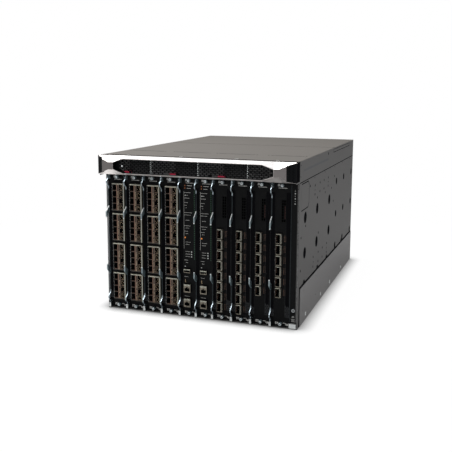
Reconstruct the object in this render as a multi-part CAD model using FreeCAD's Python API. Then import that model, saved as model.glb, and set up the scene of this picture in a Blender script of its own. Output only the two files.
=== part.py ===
import FreeCAD, Part
import math
import os

# Modular chassis switch, 8U high. Millimetres, +Z up, the front faces -Y.
# While modelling, Y = 0 is the front edge of the lower chassis; on export the whole
# object is shifted so that the origin is at the middle of its bounding box, on the floor.

os.makedirs("parts", exist_ok=True)
V = FreeCAD.Vector

# ---- driving dimensions ----

# case
width = 442.0
height = 350.0
body_depth = 646.0
sheet = 1.2              # side walls, shelf and covers
floor_sheet = 1.5
overlay = 1.0            # lower side panels
overlay_height = 82.0
overlay_front = 18.0     # their front edge
side_head = 0.6          # low-profile screw heads standing on the side panels
side_head_radius = 3.0
head_sides = 8
side_screw_y = (70.0, 225.0, 335.0, 490.0)
side_screw_z = 13.0
power_bay = 45.2         # from the underside of the shelf to the top of the case
ear_reach = 27.0         # how far the upper side walls stand forward
cover_front = -8.0       # front edge of the top cover
cover_seam = 355.0
cover_gap = 0.8
flange = 10.0
rail_depth = 10.0        # front rails that take the module screws
rail_low = 11.5
rail_high = 11.8
rail_slot_end = 6.0      # slot in each rail, for the screws' nut strip, stops short of the ends
rail_slot_play = 0.4
column_width = 16.6      # status column right of the modules
column_recess = 3.0
jack_radius = 2.1        # wrist-strap jack
jack_z = 39.0
jack_boss = 3.6
jack_depth = 15.0

# holes in the side walls: large ones at the front, smaller at the rear
front_hole_radius = 10.0
front_hole_y = (55.0, 172.0, 310.0)
front_hole_z = (151.0, 227.0)
rear_hole_radius = 7.0
rear_hole_y = (400.0, 504.0, 622.0)
rear_hole_z = (94.0, 177.0, 261.0)
hole_sides = 10          # sides of each repeated round hole
bracket_hole_radius = 2.2
bracket_hole_y = (145.0, 291.0)
bracket_hole_z = (110.0, 273.0)
groove_y = (32.0, 290.0)
groove_drop = 22.0       # below the top of the case
groove_width = 5.0
groove_depth = 0.5
pad_y = (18.0, 85.0)     # raised pad on the side wall
pad_drop = (57.8, 4.8)   # its lower and upper edge below the shelf
pad_rise = 0.5
lance_y = 100.0          # lanced grooves in the top cover
lance_inset = 14.4       # outer grooves' ends inside the side walls
lance_outer = (80.0, 75.0)
lance_inner = ((-95.0, -15.0), (10.0, 95.0))
lance_width = 2.6

# module slots
management_pitch = 38.0
management_count = 2
wide_count = 8           # line and uplink modules share the rest of the width evenly
column_play = 0.3        # last faceplate to the status column
slot_play = 0.15         # each side of a faceplate
wall_play = 0.3          # first faceplate to the side wall
plate_recess = 5.0       # faceplate front behind the chassis front edge
plate = 1.4
plate_low = 1.9
plate_play = 0.4         # top of the faceplates to the shelf
plate_return = 12.0      # depth of the folded left edge
board = 2.0
board_offset = 7.2       # lever centre to the board's left face
board_low = 15.0
board_drop = 13.8        # top of the boards below the shelf
board_rear = 422.0
cage_offset = 9.2        # lever centre to the left face of every cage
cage_proud = 1.0         # cages stand forward of the chassis front edge
cage_play = 0.2
connector_depth = 24.0
connector_width = 18.0
midplane_gap = 0.3
midplane = 4.0
air_window_margin = (60.0, 54.8)
guide_width = 6.0
guide_play = 0.3
guide_depth = 1.7
guide_front = 20.0

# captive screws
screw_offset = 21.8      # lever centre to screw centre
screw_head = 3.4
screw_head_length = 9.0
knob_sides = 8
screw_shank = 1.5
shank_sides = 6
screw_reach = 8.0        # shank behind the faceplate
screw_play = 0.2
screw_inset = (6.6, 4.8)  # from the faceplate's ends

# ejector levers
lever_offset = 3.3       # slot's left edge to the lever's centre
lever_width = 3.0
lever_strip = 2.6
lever_hub = 3.6
lever_tooth = 5.3        # reach of the tooth from the pin
hub_sides = 6
pin_radius = 1.2
pin_sides = 6
pin_play = 0.05
pivot_y = 1.5
lever_low_z = 15.0
lever_drop = 5.8         # upper pin below the faceplate's top
ear_left = 1.2
ear_right = 2.2
ear_play = 0.3
ear_half = 4.8
foot_z = 9.2             # top of the solid foot under each lower lever
arm_proud = 9.5          # how far the bend stands forward of the arm
bend_low = 8.0
bend_high = 13.0
arm_start = 21.0
arm_end = 66.0
tab_start = 77.0
tab_end = 91.0
tab_proud = 19.0

# line module: stacked transceiver cages
cage_margin = 13.4       # slot's width less the cage's
cage_depth = 50.0
cage_count = 4
cage_first = 52.2
cage_last_drop = 50.0     # last cage's centre below the faceplate's top
port_width = 8.9
port_pitch = 14.25
port_wall = 0.55
port_rows = 4
port_insets = (2.0, 3.0)  # outer edges of the two columns inside the cage
port_depth = 46.0
cage_edge = 2.25

# uplink module: large transceiver cages
large_width = 13.0
large_height = 20.6
large_pitch = 22.86
large_top = 189.0
large_opening = 8.6
large_opening_height = 18.2
large_inset = 1.0
large_depth = 68.0
large_back = 2.0
vent_hole = 3.2
vent_pitch = 5.6
vent_rows = 7
vent_width = 9.0
vent_offset = 21.0
vent_drop = 77.4         # lowest slot below the faceplate's top

# management module
usb_z = 102.0
usb_size = (15.0, 8.4)
usb_opening = (13.0, 5.4)
jack_size = (15.4, 18.4)
jack_opening = (11.8, 9.6)
jack_centres = (30.5, 63.0)
jack_case_depth = 22.0
jack_opening_depth = 17.0
jack_lift = -1.6         # opening's centre below the case's centre

# heat sink on each board
sink_z = (110.0, 200.0)
sink_y = (180.0, 280.0)
sink_base = 4.0
sink_height = 20.0
fin_count = 4
fin = 1.6

# bezel
bezel_tall = 41.0
bezel_rear = 22.0        # plane of its rear edge, forward of the chassis front
bezel_end = 29.7         # plane where its ends are widest
bezel_face = 46.5
bezel_inset = 0.6        # its widest edges inside the case's overall width
bezel_tip_inset = 2.2    # its rear edge inside the side walls
end_width = 18.4         # black end pieces
pillar_outer = 14.0      # facets of the pillars, outside and inside the ridge
pillar_inner = 11.0
shoulder_outer = 26.4    # where the waist's facets start on the rear outline
shoulder_inner = 2.0
window_slope = 23.5      # sloped ends of the window
face_edge = 4.5          # front band below the top edge, at the middle
ridge_drop = 12.5        # the same at the ridge
pillar_drop = 6.5
window_lip = 0.9
window_rise = 13.5       # half height of the window's upright ends is less by this
frame_wall = 3.0
grille_wall = 2.0
grille_gap = 0.3
grille_slot = 2.6
grille_rows = 5
grille_columns = 5
grille_bar = 4.0
end_notch = 4.5          # notches in the silver frame for the black ends, top and bottom
end_gap = 0.3
end_lap = 1.0
end_setback = 1.6
clip = 1.8               # snap arms that run back inside the case's side walls
clip_rear = 12.0
clip_half = 8.0

# power supplies
supply_count = 4
supply_play = 0.4
supply_front = 4.0
supply_depth = 330.0
supply_wall = 1.0
divider = 1.0
handle_bar = 3.0
handle_reach = 14.0
handle_width = 36.0
handle_margin = 8.0      # handle to the supply's right edge
latch_size = (15.0, 10.0, 5.0)
latch_gap = 3.3          # latch to the handle
latch_lift = 3.5

# rear: power inlets
inlet_drop = 22.0        # inlets' centres below the top of the case
inlet_size = (32.0, 27.0)
inlet_cavity = (26.0, 19.0)
inlet_depth = 24.0
inlet_cavity_depth = 17.0
inlet_flange = 2.0
blade = (1.8, 6.0, 13.0)
blade_pitch = 6.5

# rear: fan trays
tray_count = 3
tray_play = 0.25
tray_depth = 86.0
tray_wall = 1.5
fan_columns = 2
fan_rows = 3
fan_side_gap = 3.367     # each side of a fan frame
fan_end_gap = 3.4
fan_frame_depth = 38.0
fan_lap = 1.0            # how far the tray's rear plate laps each fan frame
duct_wall = 2.0          # thinnest place of the frame round the duct
tip_gap = 1.2            # blade tips to the duct
hub_radius = 12.0
hub_depth = 22.0
fan_hub_sides = 10
boss_radius = 11.0
boss_depth = 4.0
rotor_gap = 0.3
duct_sides = 12
strut = 4.0
blade_count = 5
blade_thick = 1.6
blade_chord = 18.0
blade_tilt = 25.0
tray_handle = 5.0
tray_handle_reach = 22.0
tray_handle_span = 90.0
tray_screw_radius = 4.5
tray_screw_length = 9.0

# rear: fabric modules between the midplane and the fan trays
fabric_width = 30.0
fabric_drop = 33.3       # top of the fabric modules below the shelf
fabric_depth = 104.0
fabric_gap = 0.3

# ---- derived places ----

side_out = width / 2 - side_head - overlay
side_in = side_out - sheet
shelf_z = height - power_bay
shelf_top = shelf_z + sheet
wall_top = height - sheet
column_left = side_in - column_width
slots_start = -side_in + wall_play
line_pitch = (column_left - column_play - slots_start - management_count * management_pitch) / wide_count
plate_high = shelf_z - plate_play
board_high = shelf_z - board_drop
screw_z = (plate_low + screw_inset[0], plate_high - screw_inset[1])
lever_high_z = plate_high - lever_drop
cage_width = line_pitch - cage_margin
cage_pitch = (plate_high - cage_last_drop - cage_first) / (cage_count - 1)
port_columns = (port_insets[0], cage_width - port_insets[1] - port_width)
vent_low = plate_high - vent_drop
groove_z = height - groove_drop
pad_z = (shelf_z - pad_drop[0], shelf_z - pad_drop[1])
supply_bay = 2 * side_in / supply_count
inlet_z = height - inlet_drop
inlet_x = [-side_in + (number + 0.5) * supply_bay for number in range(supply_count)]
bezel_low = height - bezel_tall
bezel_half = width / 2 - bezel_inset
bezel_tip = side_in - bezel_tip_inset
pillar_out = bezel_half - end_width
pillar_ridge = pillar_out - pillar_outer
window_half = pillar_ridge - pillar_inner
window_shoulder = window_half - window_slope
shoulder_out = bezel_half - shoulder_outer
shoulder_in = window_half - shoulder_inner
tray_cell = 2 * side_in / tray_count
fan_pitch_z = (shelf_z - floor_sheet - 2 * tray_play) / fan_rows
fan_frame = tray_cell / fan_columns - 2 * fan_side_gap
fan_frame_height = fan_pitch_z - 2 * fan_end_gap
duct_radius = fan_frame / 2 - duct_wall
rotor_radius = duct_radius - tip_gap
rail_front = plate_recess + plate + 0.6
rail_rear = rail_front + rail_depth
midplane_front = board_rear + midplane_gap
midplane_rear = midplane_front + midplane
tray_front = body_depth - tray_depth
bezel_middle = (bezel_low + height) / 2
origin_y = (body_depth + tray_handle_reach - bezel_face) / 2


# ---- helpers ----

def box(x0, x1, y0, y1, z0, z1):
    return Part.makeBox(x1 - x0, y1 - y0, z1 - z0, V(x0, y0, z0))


def rod(x, y, z, radius, length, axis):
    return Part.makeCylinder(radius, length, V(x, y, z), V(*axis))


def many_sided(x, y, z, inner_radius, length, axis, sides):
    """Prism that stands in for a round bar or hole where many like ones repeat."""
    corner = inner_radius / math.cos(math.pi / sides)
    points = []
    for number in range(sides):
        turn = 2 * math.pi * (number + 0.5) / sides
        a, b = corner * math.cos(turn), corner * math.sin(turn)
        points.append((x, y + a, z + b) if axis == "x" else (x + a, y, z + b))
    return prism(points, (length, 0, 0) if axis == "x" else (0, length, 0))


def prism(points, sweep):
    corners = [V(*point) for point in points]
    return Part.Face(Part.makePolygon(corners + corners[:1])).extrude(V(*sweep))


def joined(shapes):
    return shapes[0].multiFuse(shapes[1:]).removeSplitter()


def mirrored_x(shape):
    return shape.mirror(V(0, 0, 0), V(1, 0, 0))


def export(name, shapes):
    whole = Part.makeCompound(shapes)
    whole.translate(V(0, -origin_y, 0))
    whole.exportStep("parts/" + name + ".step")


# ---- case ----

def module_slots():
    """Kind and left edge of every slot, from left to right."""
    kinds = ["line"] * 4 + ["management"] * management_count + ["uplink_8"] * 2 + ["uplink_6"] * 2
    slots = []
    left = slots_start
    for kind in kinds:
        pitch = management_pitch if kind == "management" else line_pitch
        slots.append((kind, left, pitch))
        left += pitch
    return slots


def card_guides(centre):
    """Rails each side of a board's lower and upper edges."""
    half = guide_width / 2
    slot = board / 2 + guide_play
    rails = []
    for near, far in ((-half, -slot), (slot, half)):
        rails.append(box(centre + near, centre + far, guide_front, board_rear, floor_sheet,
                         board_low + guide_depth))
        rails.append(box(centre + near, centre + far, guide_front, board_rear, board_high - guide_depth,
                         shelf_z))
    return rails


def side_wall():
    wall = box(side_in, side_out, 0, body_depth, 0, wall_top)
    wall = wall.fuse(box(side_in, side_out, -ear_reach, 1, shelf_top, wall_top))
    wall = wall.fuse(box(side_in - flange, side_in, 0, body_depth, wall_top - sheet, wall_top))
    wall = wall.fuse(box(side_out, side_out + pad_rise, pad_y[0], pad_y[1], pad_z[0], pad_z[1]))
    holes = [many_sided(side_in - 1, y, z, front_hole_radius, sheet + 2, "x", hole_sides)
             for y in front_hole_y for z in front_hole_z]
    holes += [many_sided(side_in - 1, y, z, rear_hole_radius, sheet + 2, "x", hole_sides)
              for y in rear_hole_y for z in rear_hole_z]
    holes += [rod(side_in - 1, y, z, bracket_hole_radius, sheet + 2, (1, 0, 0))
              for y in bracket_hole_y for z in bracket_hole_z]
    holes.append(box(side_out - groove_depth, side_out + 1, groove_y[0], groove_y[1],
                     groove_z - groove_width / 2, groove_z + groove_width / 2))
    return wall.cut(Part.makeCompound(holes))


def chassis_shell():
    """Side walls, floor, shelf, rails and panels of the case, each a sheet of its own."""
    wall = side_wall()
    sheets = [wall, mirrored_x(wall)]
    sheets.append(box(-side_in, side_in, 0, body_depth, 0, floor_sheet))
    sheets.append(box(-side_in, side_in, 0, body_depth, shelf_z, shelf_top))
    half = screw_shank + rail_slot_play
    for low, high, z in ((floor_sheet, floor_sheet + rail_low, screw_z[0]),
                         (shelf_z - rail_high, shelf_z, screw_z[1])):
        rail = box(-side_in, column_left, rail_front, rail_rear, low, high)
        slot = box(slots_start + rail_slot_end, column_left - rail_slot_end, rail_front - 1, rail_rear + 1,
                   z - half, z + half)
        sheets.append(rail.cut(slot))
    column_middle = column_left + column_width / 2
    column = [box(column_left, side_in, column_recess, column_recess + sheet, floor_sheet, shelf_z),
              box(column_left, column_left + sheet, column_recess, board_rear, floor_sheet, shelf_z),
              rod(column_middle, column_recess, jack_z, jack_boss, jack_depth, (0, 1, 0))]
    jack_bore = rod(column_middle, column_recess - 1, jack_z, jack_radius, jack_depth, (0, 1, 0))
    sheets.append(joined(column).cut(jack_bore))
    for number in range(1, supply_count):
        middle = -side_in + number * supply_bay
        sheets.append(box(middle - divider / 2, middle + divider / 2, supply_front,
                          supply_front + supply_depth, shelf_top, wall_top))
    rear_panel = box(-side_in, side_in, body_depth - sheet, body_depth, shelf_top, wall_top - sheet)
    for x in inlet_x:
        half_wide = inlet_size[0] / 2
        half_tall = inlet_size[1] / 2
        rear_panel = rear_panel.cut(box(x - half_wide, x + half_wide, body_depth - sheet - 1, body_depth + 1,
                                        inlet_z - half_tall, inlet_z + half_tall))
    sheets.append(rear_panel)
    for kind, left, pitch in module_slots():
        sheets += card_guides(left + lever_offset + board_offset + board / 2)
    return sheets


def top_cover():
    panels = []
    for front, rear in ((cover_front, cover_seam), (cover_seam + cover_gap, body_depth)):
        panels.append(box(-side_out, side_out, front, rear, wall_top, height))
    edge = side_out - lance_inset
    lances = [(-edge, lance_outer[0] - edge), *lance_inner, (edge - lance_outer[1], edge)]
    grooves = [box(x0, x1, lance_y - lance_width / 2, lance_y + lance_width / 2,
                   height - groove_depth, height + 1) for x0, x1 in lances]
    panels[0] = panels[0].cut(Part.makeCompound(grooves))
    return panels


def side_panels():
    panel = box(side_out, side_out + overlay, overlay_front, body_depth, 0, overlay_height)
    heads = [many_sided(side_out + overlay, y, side_screw_z, side_head_radius, side_head, "x", head_sides)
             for y in side_screw_y]
    right = joined([panel] + heads)
    return [right, mirrored_x(right)]


def midplane_board():
    plate_solid = box(-side_in + wall_play, side_in - wall_play, midplane_front, midplane_rear,
                      floor_sheet, shelf_z)
    windows = []
    for kind, left, pitch in module_slots():
        x = left + lever_offset + board_offset + connector_width + 4
        windows.append(box(x, left + pitch - 2, midplane_front - 1, midplane_rear + 1,
                           floor_sheet + air_window_margin[0], shelf_z - air_window_margin[1]))
    return [plate_solid.cut(Part.makeCompound(windows))]


# ---- bezel ----

def bezel_section(half_widths, drops, y):
    """Corners round the bezel: half widths, and how far each corner lies inside the top or bottom edge."""
    half_height = (height - bezel_low) / 2
    right = [(x, half_height - drop) for x, drop in zip(half_widths, drops)]
    upper = [(-x, z) for x, z in right] + [(x, z) for x, z in reversed(right)]
    loop = upper + [(x, -z) for x, z in reversed(upper)]
    return [V(x, -y, bezel_middle + z) for x, z in loop]


def flat_face(corners):
    return Part.Face(Part.makePolygon(corners + corners[:1]))


def bezel_nose():
    """Waisted front of the bezel: flat facets between its rear outline and its hourglass face."""
    rear = bezel_section((bezel_half, shoulder_out, shoulder_in, window_shoulder), (0, 0, 0, 0), bezel_end)
    face = bezel_section((pillar_out, pillar_ridge, window_half, window_shoulder),
                         (pillar_drop, ridge_drop, ridge_drop, face_edge), bezel_face)
    facets = [flat_face(rear), flat_face(face)]
    for here in range(len(rear)):
        there = (here + 1) % len(rear)
        facets.append(flat_face([rear[here], rear[there], face[here]]))
        facets.append(flat_face([rear[there], face[there], face[here]]))
    nose = Part.Solid(Part.makeShell(facets))
    if nose.Volume < 0:
        nose.reverse()
    return nose


def bezel_window(extra, front, rear):
    half_height = (height - bezel_low) / 2
    tall = half_height - face_edge - window_lip + extra
    short = half_height - window_rise + extra
    outline = [(-window_half - extra, short), (-window_shoulder, tall), (window_shoulder, tall),
               (window_half + extra, short)]
    outline += [(x, -z) for x, z in reversed(outline)]
    points = [(x, -front, bezel_middle + z) for x, z in outline]
    return prism(points, (0, front - rear, 0))


def bezel_frame():
    nose = bezel_nose()
    back = box(-bezel_tip, bezel_tip, -bezel_end, -bezel_rear, bezel_low, height)
    hollow = box(-bezel_tip + frame_wall, bezel_tip - frame_wall, -bezel_end - 1, -bezel_rear + 1,
                 bezel_low + frame_wall, height - frame_wall)
    window = bezel_window(0, bezel_face + 5, bezel_rear - 5)
    ends = []
    for side in (-1, 1):
        points = [(side * (pillar_out + end_lap), -bezel_face - 1, bezel_low + end_notch),
                  (side * (pillar_out + end_lap), -bezel_face - 1, height - end_notch),
                  (side * (bezel_half + 2), -bezel_face - 1, height - end_notch),
                  (side * (bezel_half + 2), -bezel_face - 1, bezel_low + end_notch)]
        ends.append(prism(points, (0, bezel_face - bezel_rear + 2, 0)))
    frame = nose.fuse(back).cut(Part.makeCompound([hollow, window] + ends))
    return [frame.removeSplitter()]


def bezel_grille():
    half_height = (height - bezel_low) / 2
    panel = box(-bezel_tip + frame_wall + grille_gap, bezel_tip - frame_wall - grille_gap,
                -bezel_end + grille_gap, -bezel_end + grille_gap + grille_wall,
                bezel_low + frame_wall + grille_gap, height - frame_wall - grille_gap)
    span = 2 * window_shoulder
    pitch_x = span / grille_columns
    clear_height = 2 * (half_height - face_edge - window_lip) - 2
    pitch_z = clear_height / grille_rows
    slots = []
    for row in range(grille_rows):
        z = bezel_middle - clear_height / 2 + (row + 0.5) * pitch_z
        for column in range(grille_columns):
            x = -span / 2 + column * pitch_x
            slots.append(box(x + grille_bar / 2, x + pitch_x - grille_bar / 2, -bezel_face, 0,
                             z - grille_slot / 2, z + grille_slot / 2))
    panel = panel.cut(Part.makeCompound(slots))
    pieces = [panel]
    for side in (-1, 1):
        inner = pillar_out + end_lap + end_gap
        low = bezel_low + end_notch + end_gap
        outer = bezel_half
        points = [(side * inner, -bezel_end + grille_gap, low),
                  (side * inner, -bezel_face + end_setback, low),
                  (side * outer, -bezel_end - end_setback, low),
                  (side * outer, -bezel_end + grille_gap, low)]
        end = prism(points, (0, 0, bezel_tall - 2 * (end_notch + end_gap)))
        reach = sorted((side * (side_in - grille_gap), side * (side_in - grille_gap - clip)))
        arm = box(*reach, -bezel_end, -clip_rear, bezel_middle - clip_half, bezel_middle + clip_half)
        pieces.append(joined([end, arm]))
    return pieces


# ---- power ----

def power_supplies():
    solids = []
    for number in range(supply_count):
        left = -side_in + number * supply_bay + divider / 2 + supply_play
        right = left + supply_bay - divider - 2 * supply_play
        case = box(left, right, supply_front, supply_front + supply_depth, shelf_top, wall_top - sheet - supply_play)
        solids.append(case)
        handle_right = right - handle_margin
        handle_left = handle_right - handle_width
        low = bezel_middle - handle_bar / 2
        front = supply_front - handle_reach
        bar = box(handle_left, handle_right, front, front + handle_bar, low, low + handle_bar)
        posts = [box(x, x + handle_bar, front, supply_front, low, low + handle_bar)
                 for x in (handle_left, handle_right - handle_bar)]
        solids.append(joined([bar] + posts))
        wide, reach, tall = latch_size
        latch_right = handle_left - latch_gap
        solids.append(box(latch_right - wide, latch_right, supply_front - reach, supply_front,
                          shelf_top + latch_lift, shelf_top + latch_lift + tall))
    return solids


def power_inlets():
    solids = []
    for x in inlet_x:
        wide, tall = inlet_size
        case = box(x - wide / 2 + 0.3, x + wide / 2 - 0.3, body_depth - inlet_depth, body_depth,
                   inlet_z - tall / 2 + 0.3, inlet_z + tall / 2 - 0.3)
        rim = box(x - wide / 2 - 2, x + wide / 2 + 2, body_depth, body_depth + inlet_flange,
                  inlet_z - tall / 2 - 2, inlet_z + tall / 2 + 2)
        mouth = body_depth + inlet_flange
        cavity = box(x - inlet_cavity[0] / 2, x + inlet_cavity[0] / 2, mouth - inlet_cavity_depth, mouth + 1,
                     inlet_z - inlet_cavity[1] / 2, inlet_z + inlet_cavity[1] / 2)
        body = case.fuse(rim).cut(cavity)
        blades = [box(x + shift - blade[0] / 2, x + shift + blade[0] / 2, mouth - inlet_cavity_depth - 1,
                      mouth - inlet_cavity_depth + blade[2], inlet_z + lift - blade[1] / 2,
                      inlet_z + lift + blade[1] / 2)
                  for shift, lift in ((-blade_pitch, -3.0), (0, 4.5), (blade_pitch, -3.0))]
        solids.append(joined([body] + blades))
    return solids


# ---- modules ----

def ribbon(points, thickness):
    """Outline of a strip of even thickness along a path of (reach, height) points."""
    sides = ([], [])
    for index, (reach, tall) in enumerate(points):
        before = points[max(index - 1, 0)]
        after = points[min(index + 1, len(points) - 1)]
        steps = []
        for a, b in ((before, (reach, tall)), ((reach, tall), after)):
            length = math.dist(a, b)
            if length:
                steps.append(((b[0] - a[0]) / length, (b[1] - a[1]) / length))
        mean = (sum(s[0] for s in steps), sum(s[1] for s in steps))
        size = math.hypot(*mean)
        mean = (mean[0] / size, mean[1] / size)
        stretch = thickness / 2 / (mean[0] * steps[0][0] + mean[1] * steps[0][1])
        sides[0].append((reach - mean[1] * stretch, tall + mean[0] * stretch))
        sides[1].append((reach + mean[1] * stretch, tall - mean[0] * stretch))
    return sides[0] + sides[1][::-1]


def lever(centre, pivot_z, up):
    """Ejector lever: hub on the pin, tooth behind the faceplate edge, bent strip arm and finger tab."""
    left = centre - lever_width / 2
    path = [(0, 0), (arm_proud, bend_low), (arm_proud, bend_high), (0, arm_start),
            (0, arm_end), (tab_proud, tab_start), (tab_proud, tab_end)]
    strip = [(left, pivot_y - reach, pivot_z + up * tall) for reach, tall in ribbon(path, lever_strip)]
    arm = prism(strip, (lever_width, 0, 0))
    hub = many_sided(left, pivot_y, pivot_z, lever_hub, lever_width, "x", hub_sides)
    tooth_ends = sorted((pivot_z, pivot_z - up * lever_tooth))
    tooth = box(left, left + lever_width, pivot_y - 1.6, pivot_y + 1.6, *tooth_ends)
    bore = many_sided(left - 1, pivot_y, pivot_z, pin_radius + pin_play, lever_width + 2, "x", pin_sides)
    return joined([arm, hub, tooth]).cut(bore)


def bracket(centre, pivot_z, foot):
    """Two ears on the faceplate that hold the lever's pin, and the foot below the lower one."""
    slot = lever_width / 2 + ear_play
    rear = plate_recess
    front = pivot_y - ear_half
    low = pivot_z - ear_half
    high = min(pivot_z + ear_half, plate_high)
    bits = [box(centre - slot - ear_left, centre - slot, front, rear, low, high),
            box(centre + slot, centre + slot + ear_right, front, rear, low, high)]
    if foot:
        bits.append(box(centre - slot - ear_left, centre + slot + ear_right, front, rear, plate_low, foot_z))
        bits.append(box(centre - slot - ear_left, centre - slot, front, rear, plate_low, low + 1))
        bits.append(box(centre + slot, centre + slot + ear_right, front, rear, plate_low, low + 1))
    inner = pin_radius * math.cos(math.pi / pin_sides)
    bits.append(many_sided(centre - slot - ear_left, pivot_y, pivot_z, inner,
                           2 * slot + ear_left + ear_right, "x", pin_sides))
    return bits


def captive_screw(x, z):
    head = many_sided(x, plate_recess - screw_head_length, z, screw_head, screw_head_length, "y", knob_sides)
    shank = many_sided(x, plate_recess, z, screw_shank, screw_reach + plate, "y", shank_sides)
    return head.fuse(shank)


def faceplate(left, pitch, centre, windows):
    start = left + slot_play
    end = left + pitch - slot_play
    front = plate_recess
    bits = [box(start, end, front, front + plate, plate_low, plate_high)]
    bits.append(box(start, start + sheet, front, front + plate_return, board_low, board_high))
    bits += bracket(centre, lever_low_z, True)
    bits += bracket(centre, lever_high_z, False)
    cuts = list(windows)
    notch = lever_width / 2 + ear_play
    reach = lever_tooth + 0.4
    cuts.append(box(centre - notch, centre + notch, front - 0.1, front + plate + 1,
                    lever_low_z - reach, lever_low_z + reach))
    cuts.append(box(centre - notch, centre + notch, front - 0.1, front + plate + 1,
                    lever_high_z - reach, min(lever_high_z + reach, plate_high + 1)))
    cuts += [many_sided(centre + screw_offset, front - 1, z, screw_shank + screw_play, plate + 2, "y",
                        shank_sides) for z in screw_z]
    return joined(bits).cut(Part.makeCompound(cuts))


def window(x0, x1, z0, z1):
    return box(x0 - cage_play, x1 + cage_play, plate_recess - 1, plate_recess + plate + 1,
               z0 - cage_play, z1 + cage_play)


def line_cages(centre):
    left = centre + cage_offset
    tall = port_rows * port_pitch + 2 * cage_edge
    cages = []
    windows = []
    for number in range(cage_count):
        low = cage_first + number * cage_pitch - tall / 2
        cage = box(left, left + cage_width, -cage_proud, cage_depth, low, low + tall)
        ports = []
        for column in port_columns:
            for row in range(port_rows):
                z = low + cage_edge + row * port_pitch
                ports.append(box(left + column, left + column + port_width, -cage_proud - 1,
                                 -cage_proud + port_depth, z + port_wall / 2, z + port_pitch - port_wall / 2))
        cages.append(cage.cut(Part.makeCompound(ports)))
        windows.append(window(left, left + cage_width, low, low + tall))
    return cages, windows


def uplink_cages(centre, count):
    left = centre + cage_offset
    cages = []
    for number in range(count):
        middle = large_top - number * large_pitch
        low = middle - large_height / 2
        cage = box(left, left + large_width, -cage_proud, large_depth, low, low + large_height)
        opening = box(left + large_inset, left + large_inset + large_opening, -cage_proud - 1,
                      large_depth - large_back, middle - large_opening_height / 2,
                      middle + large_opening_height / 2)
        cages.append(cage.cut(opening))
    windows = [window(left, left + large_width, low, large_top + large_height / 2)]
    for row in range(vent_rows):
        z = vent_low + row * vent_pitch
        x = centre + vent_offset
        windows.append(box(x, x + vent_width, plate_recess - 1, plate_recess + plate + 1, z, z + vent_hole))
    return cages, windows


def jack(left, middle, size, opening, lift, deep, hollow):
    wide, tall = size
    case = box(left, left + wide, -cage_proud, deep, middle - tall / 2, middle + tall / 2)
    centre = left + wide / 2
    cavity = box(centre - opening[0] / 2, centre + opening[0] / 2, -cage_proud - 1, -cage_proud + hollow,
                 middle + lift - opening[1] / 2, middle + lift + opening[1] / 2)
    return case.cut(cavity), window(left, left + wide, middle - tall / 2, middle + tall / 2)


def management_jacks(centre):
    left = centre + cage_offset
    made = [jack(left, usb_z, usb_size, usb_opening, 0, jack_case_depth, jack_opening_depth - 1)]
    made += [jack(left, z, jack_size, jack_opening, jack_lift, jack_case_depth, jack_opening_depth)
             for z in jack_centres]
    return [case for case, hole in made], [hole for case, hole in made]


def heat_sink(face):
    base = box(face, face + sink_base, *sink_y, *sink_z)
    pitch = (sink_z[1] - sink_z[0] - fin) / (fin_count - 1)
    fins = [box(face, face + sink_height, sink_y[0], sink_y[1], sink_z[0] + n * pitch, sink_z[0] + n * pitch + fin)
            for n in range(fin_count)]
    return joined([base] + fins)


def module(kind, left, pitch):
    centre = left + lever_offset
    if kind == "line":
        cages, windows = line_cages(centre)
    elif kind == "management":
        cages, windows = management_jacks(centre)
    else:
        cages, windows = uplink_cages(centre, int(kind[-1]))
    board_left = centre + board_offset
    board_face = board_left + board
    circuit = box(board_left, board_face, plate_recess + plate, board_rear, board_low, board_high)
    connector = box(board_face, board_face + connector_width, board_rear - connector_depth, board_rear,
                    board_low + 10, board_high - 10)
    screws = [captive_screw(centre + screw_offset, z) for z in screw_z]
    return [faceplate(left, pitch, centre, windows), circuit, connector, heat_sink(board_face)] + cages + screws


# ---- rear ----

def fan_places(left):
    places = []
    tray_low = floor_sheet + tray_play
    for row in range(fan_rows):
        for column in range(fan_columns):
            places.append((left + (column + 0.5) * tray_cell / fan_columns, tray_low + (row + 0.5) * fan_pitch_z))
    return places


def fan_housing(x, z):
    """Fan frame with its duct, the strut across it and the boss that carries the rotor."""
    rear = body_depth - tray_wall
    front = rear - fan_frame_depth
    half = fan_frame / 2
    tall = fan_frame_height / 2
    case = box(x - half, x + half, front, rear, z - tall, z + tall)
    case = case.cut(many_sided(x, front - 1, z, duct_radius, fan_frame_depth + 2, "y", duct_sides))
    bar = box(x - strut / 2, x + strut / 2, front, front + boss_depth, z - tall, z + tall)
    boss = many_sided(x, front, z, boss_radius, boss_depth, "y", fan_hub_sides)
    return joined([case, bar, boss])


def fan_rotor(x, z):
    """Round hub, turning on the boss, with tilted blades."""
    front = body_depth - tray_wall - fan_frame_depth + boss_depth + rotor_gap
    hub = many_sided(x, front, z, hub_radius, hub_depth, "y", fan_hub_sides)
    middle = front + hub_depth / 2
    blades = []
    for number in range(blade_count):
        vane = box(hub_radius - 2, rotor_radius, -blade_chord / 2, blade_chord / 2, -blade_thick / 2, blade_thick / 2)
        vane.rotate(V(0, 0, 0), V(1, 0, 0), blade_tilt)
        vane.translate(V(x, middle, z))
        vane.rotate(V(x, middle, z), V(0, 1, 0), number * 360.0 / blade_count)
        blades.append(vane)
    return joined([hub] + blades)


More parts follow.
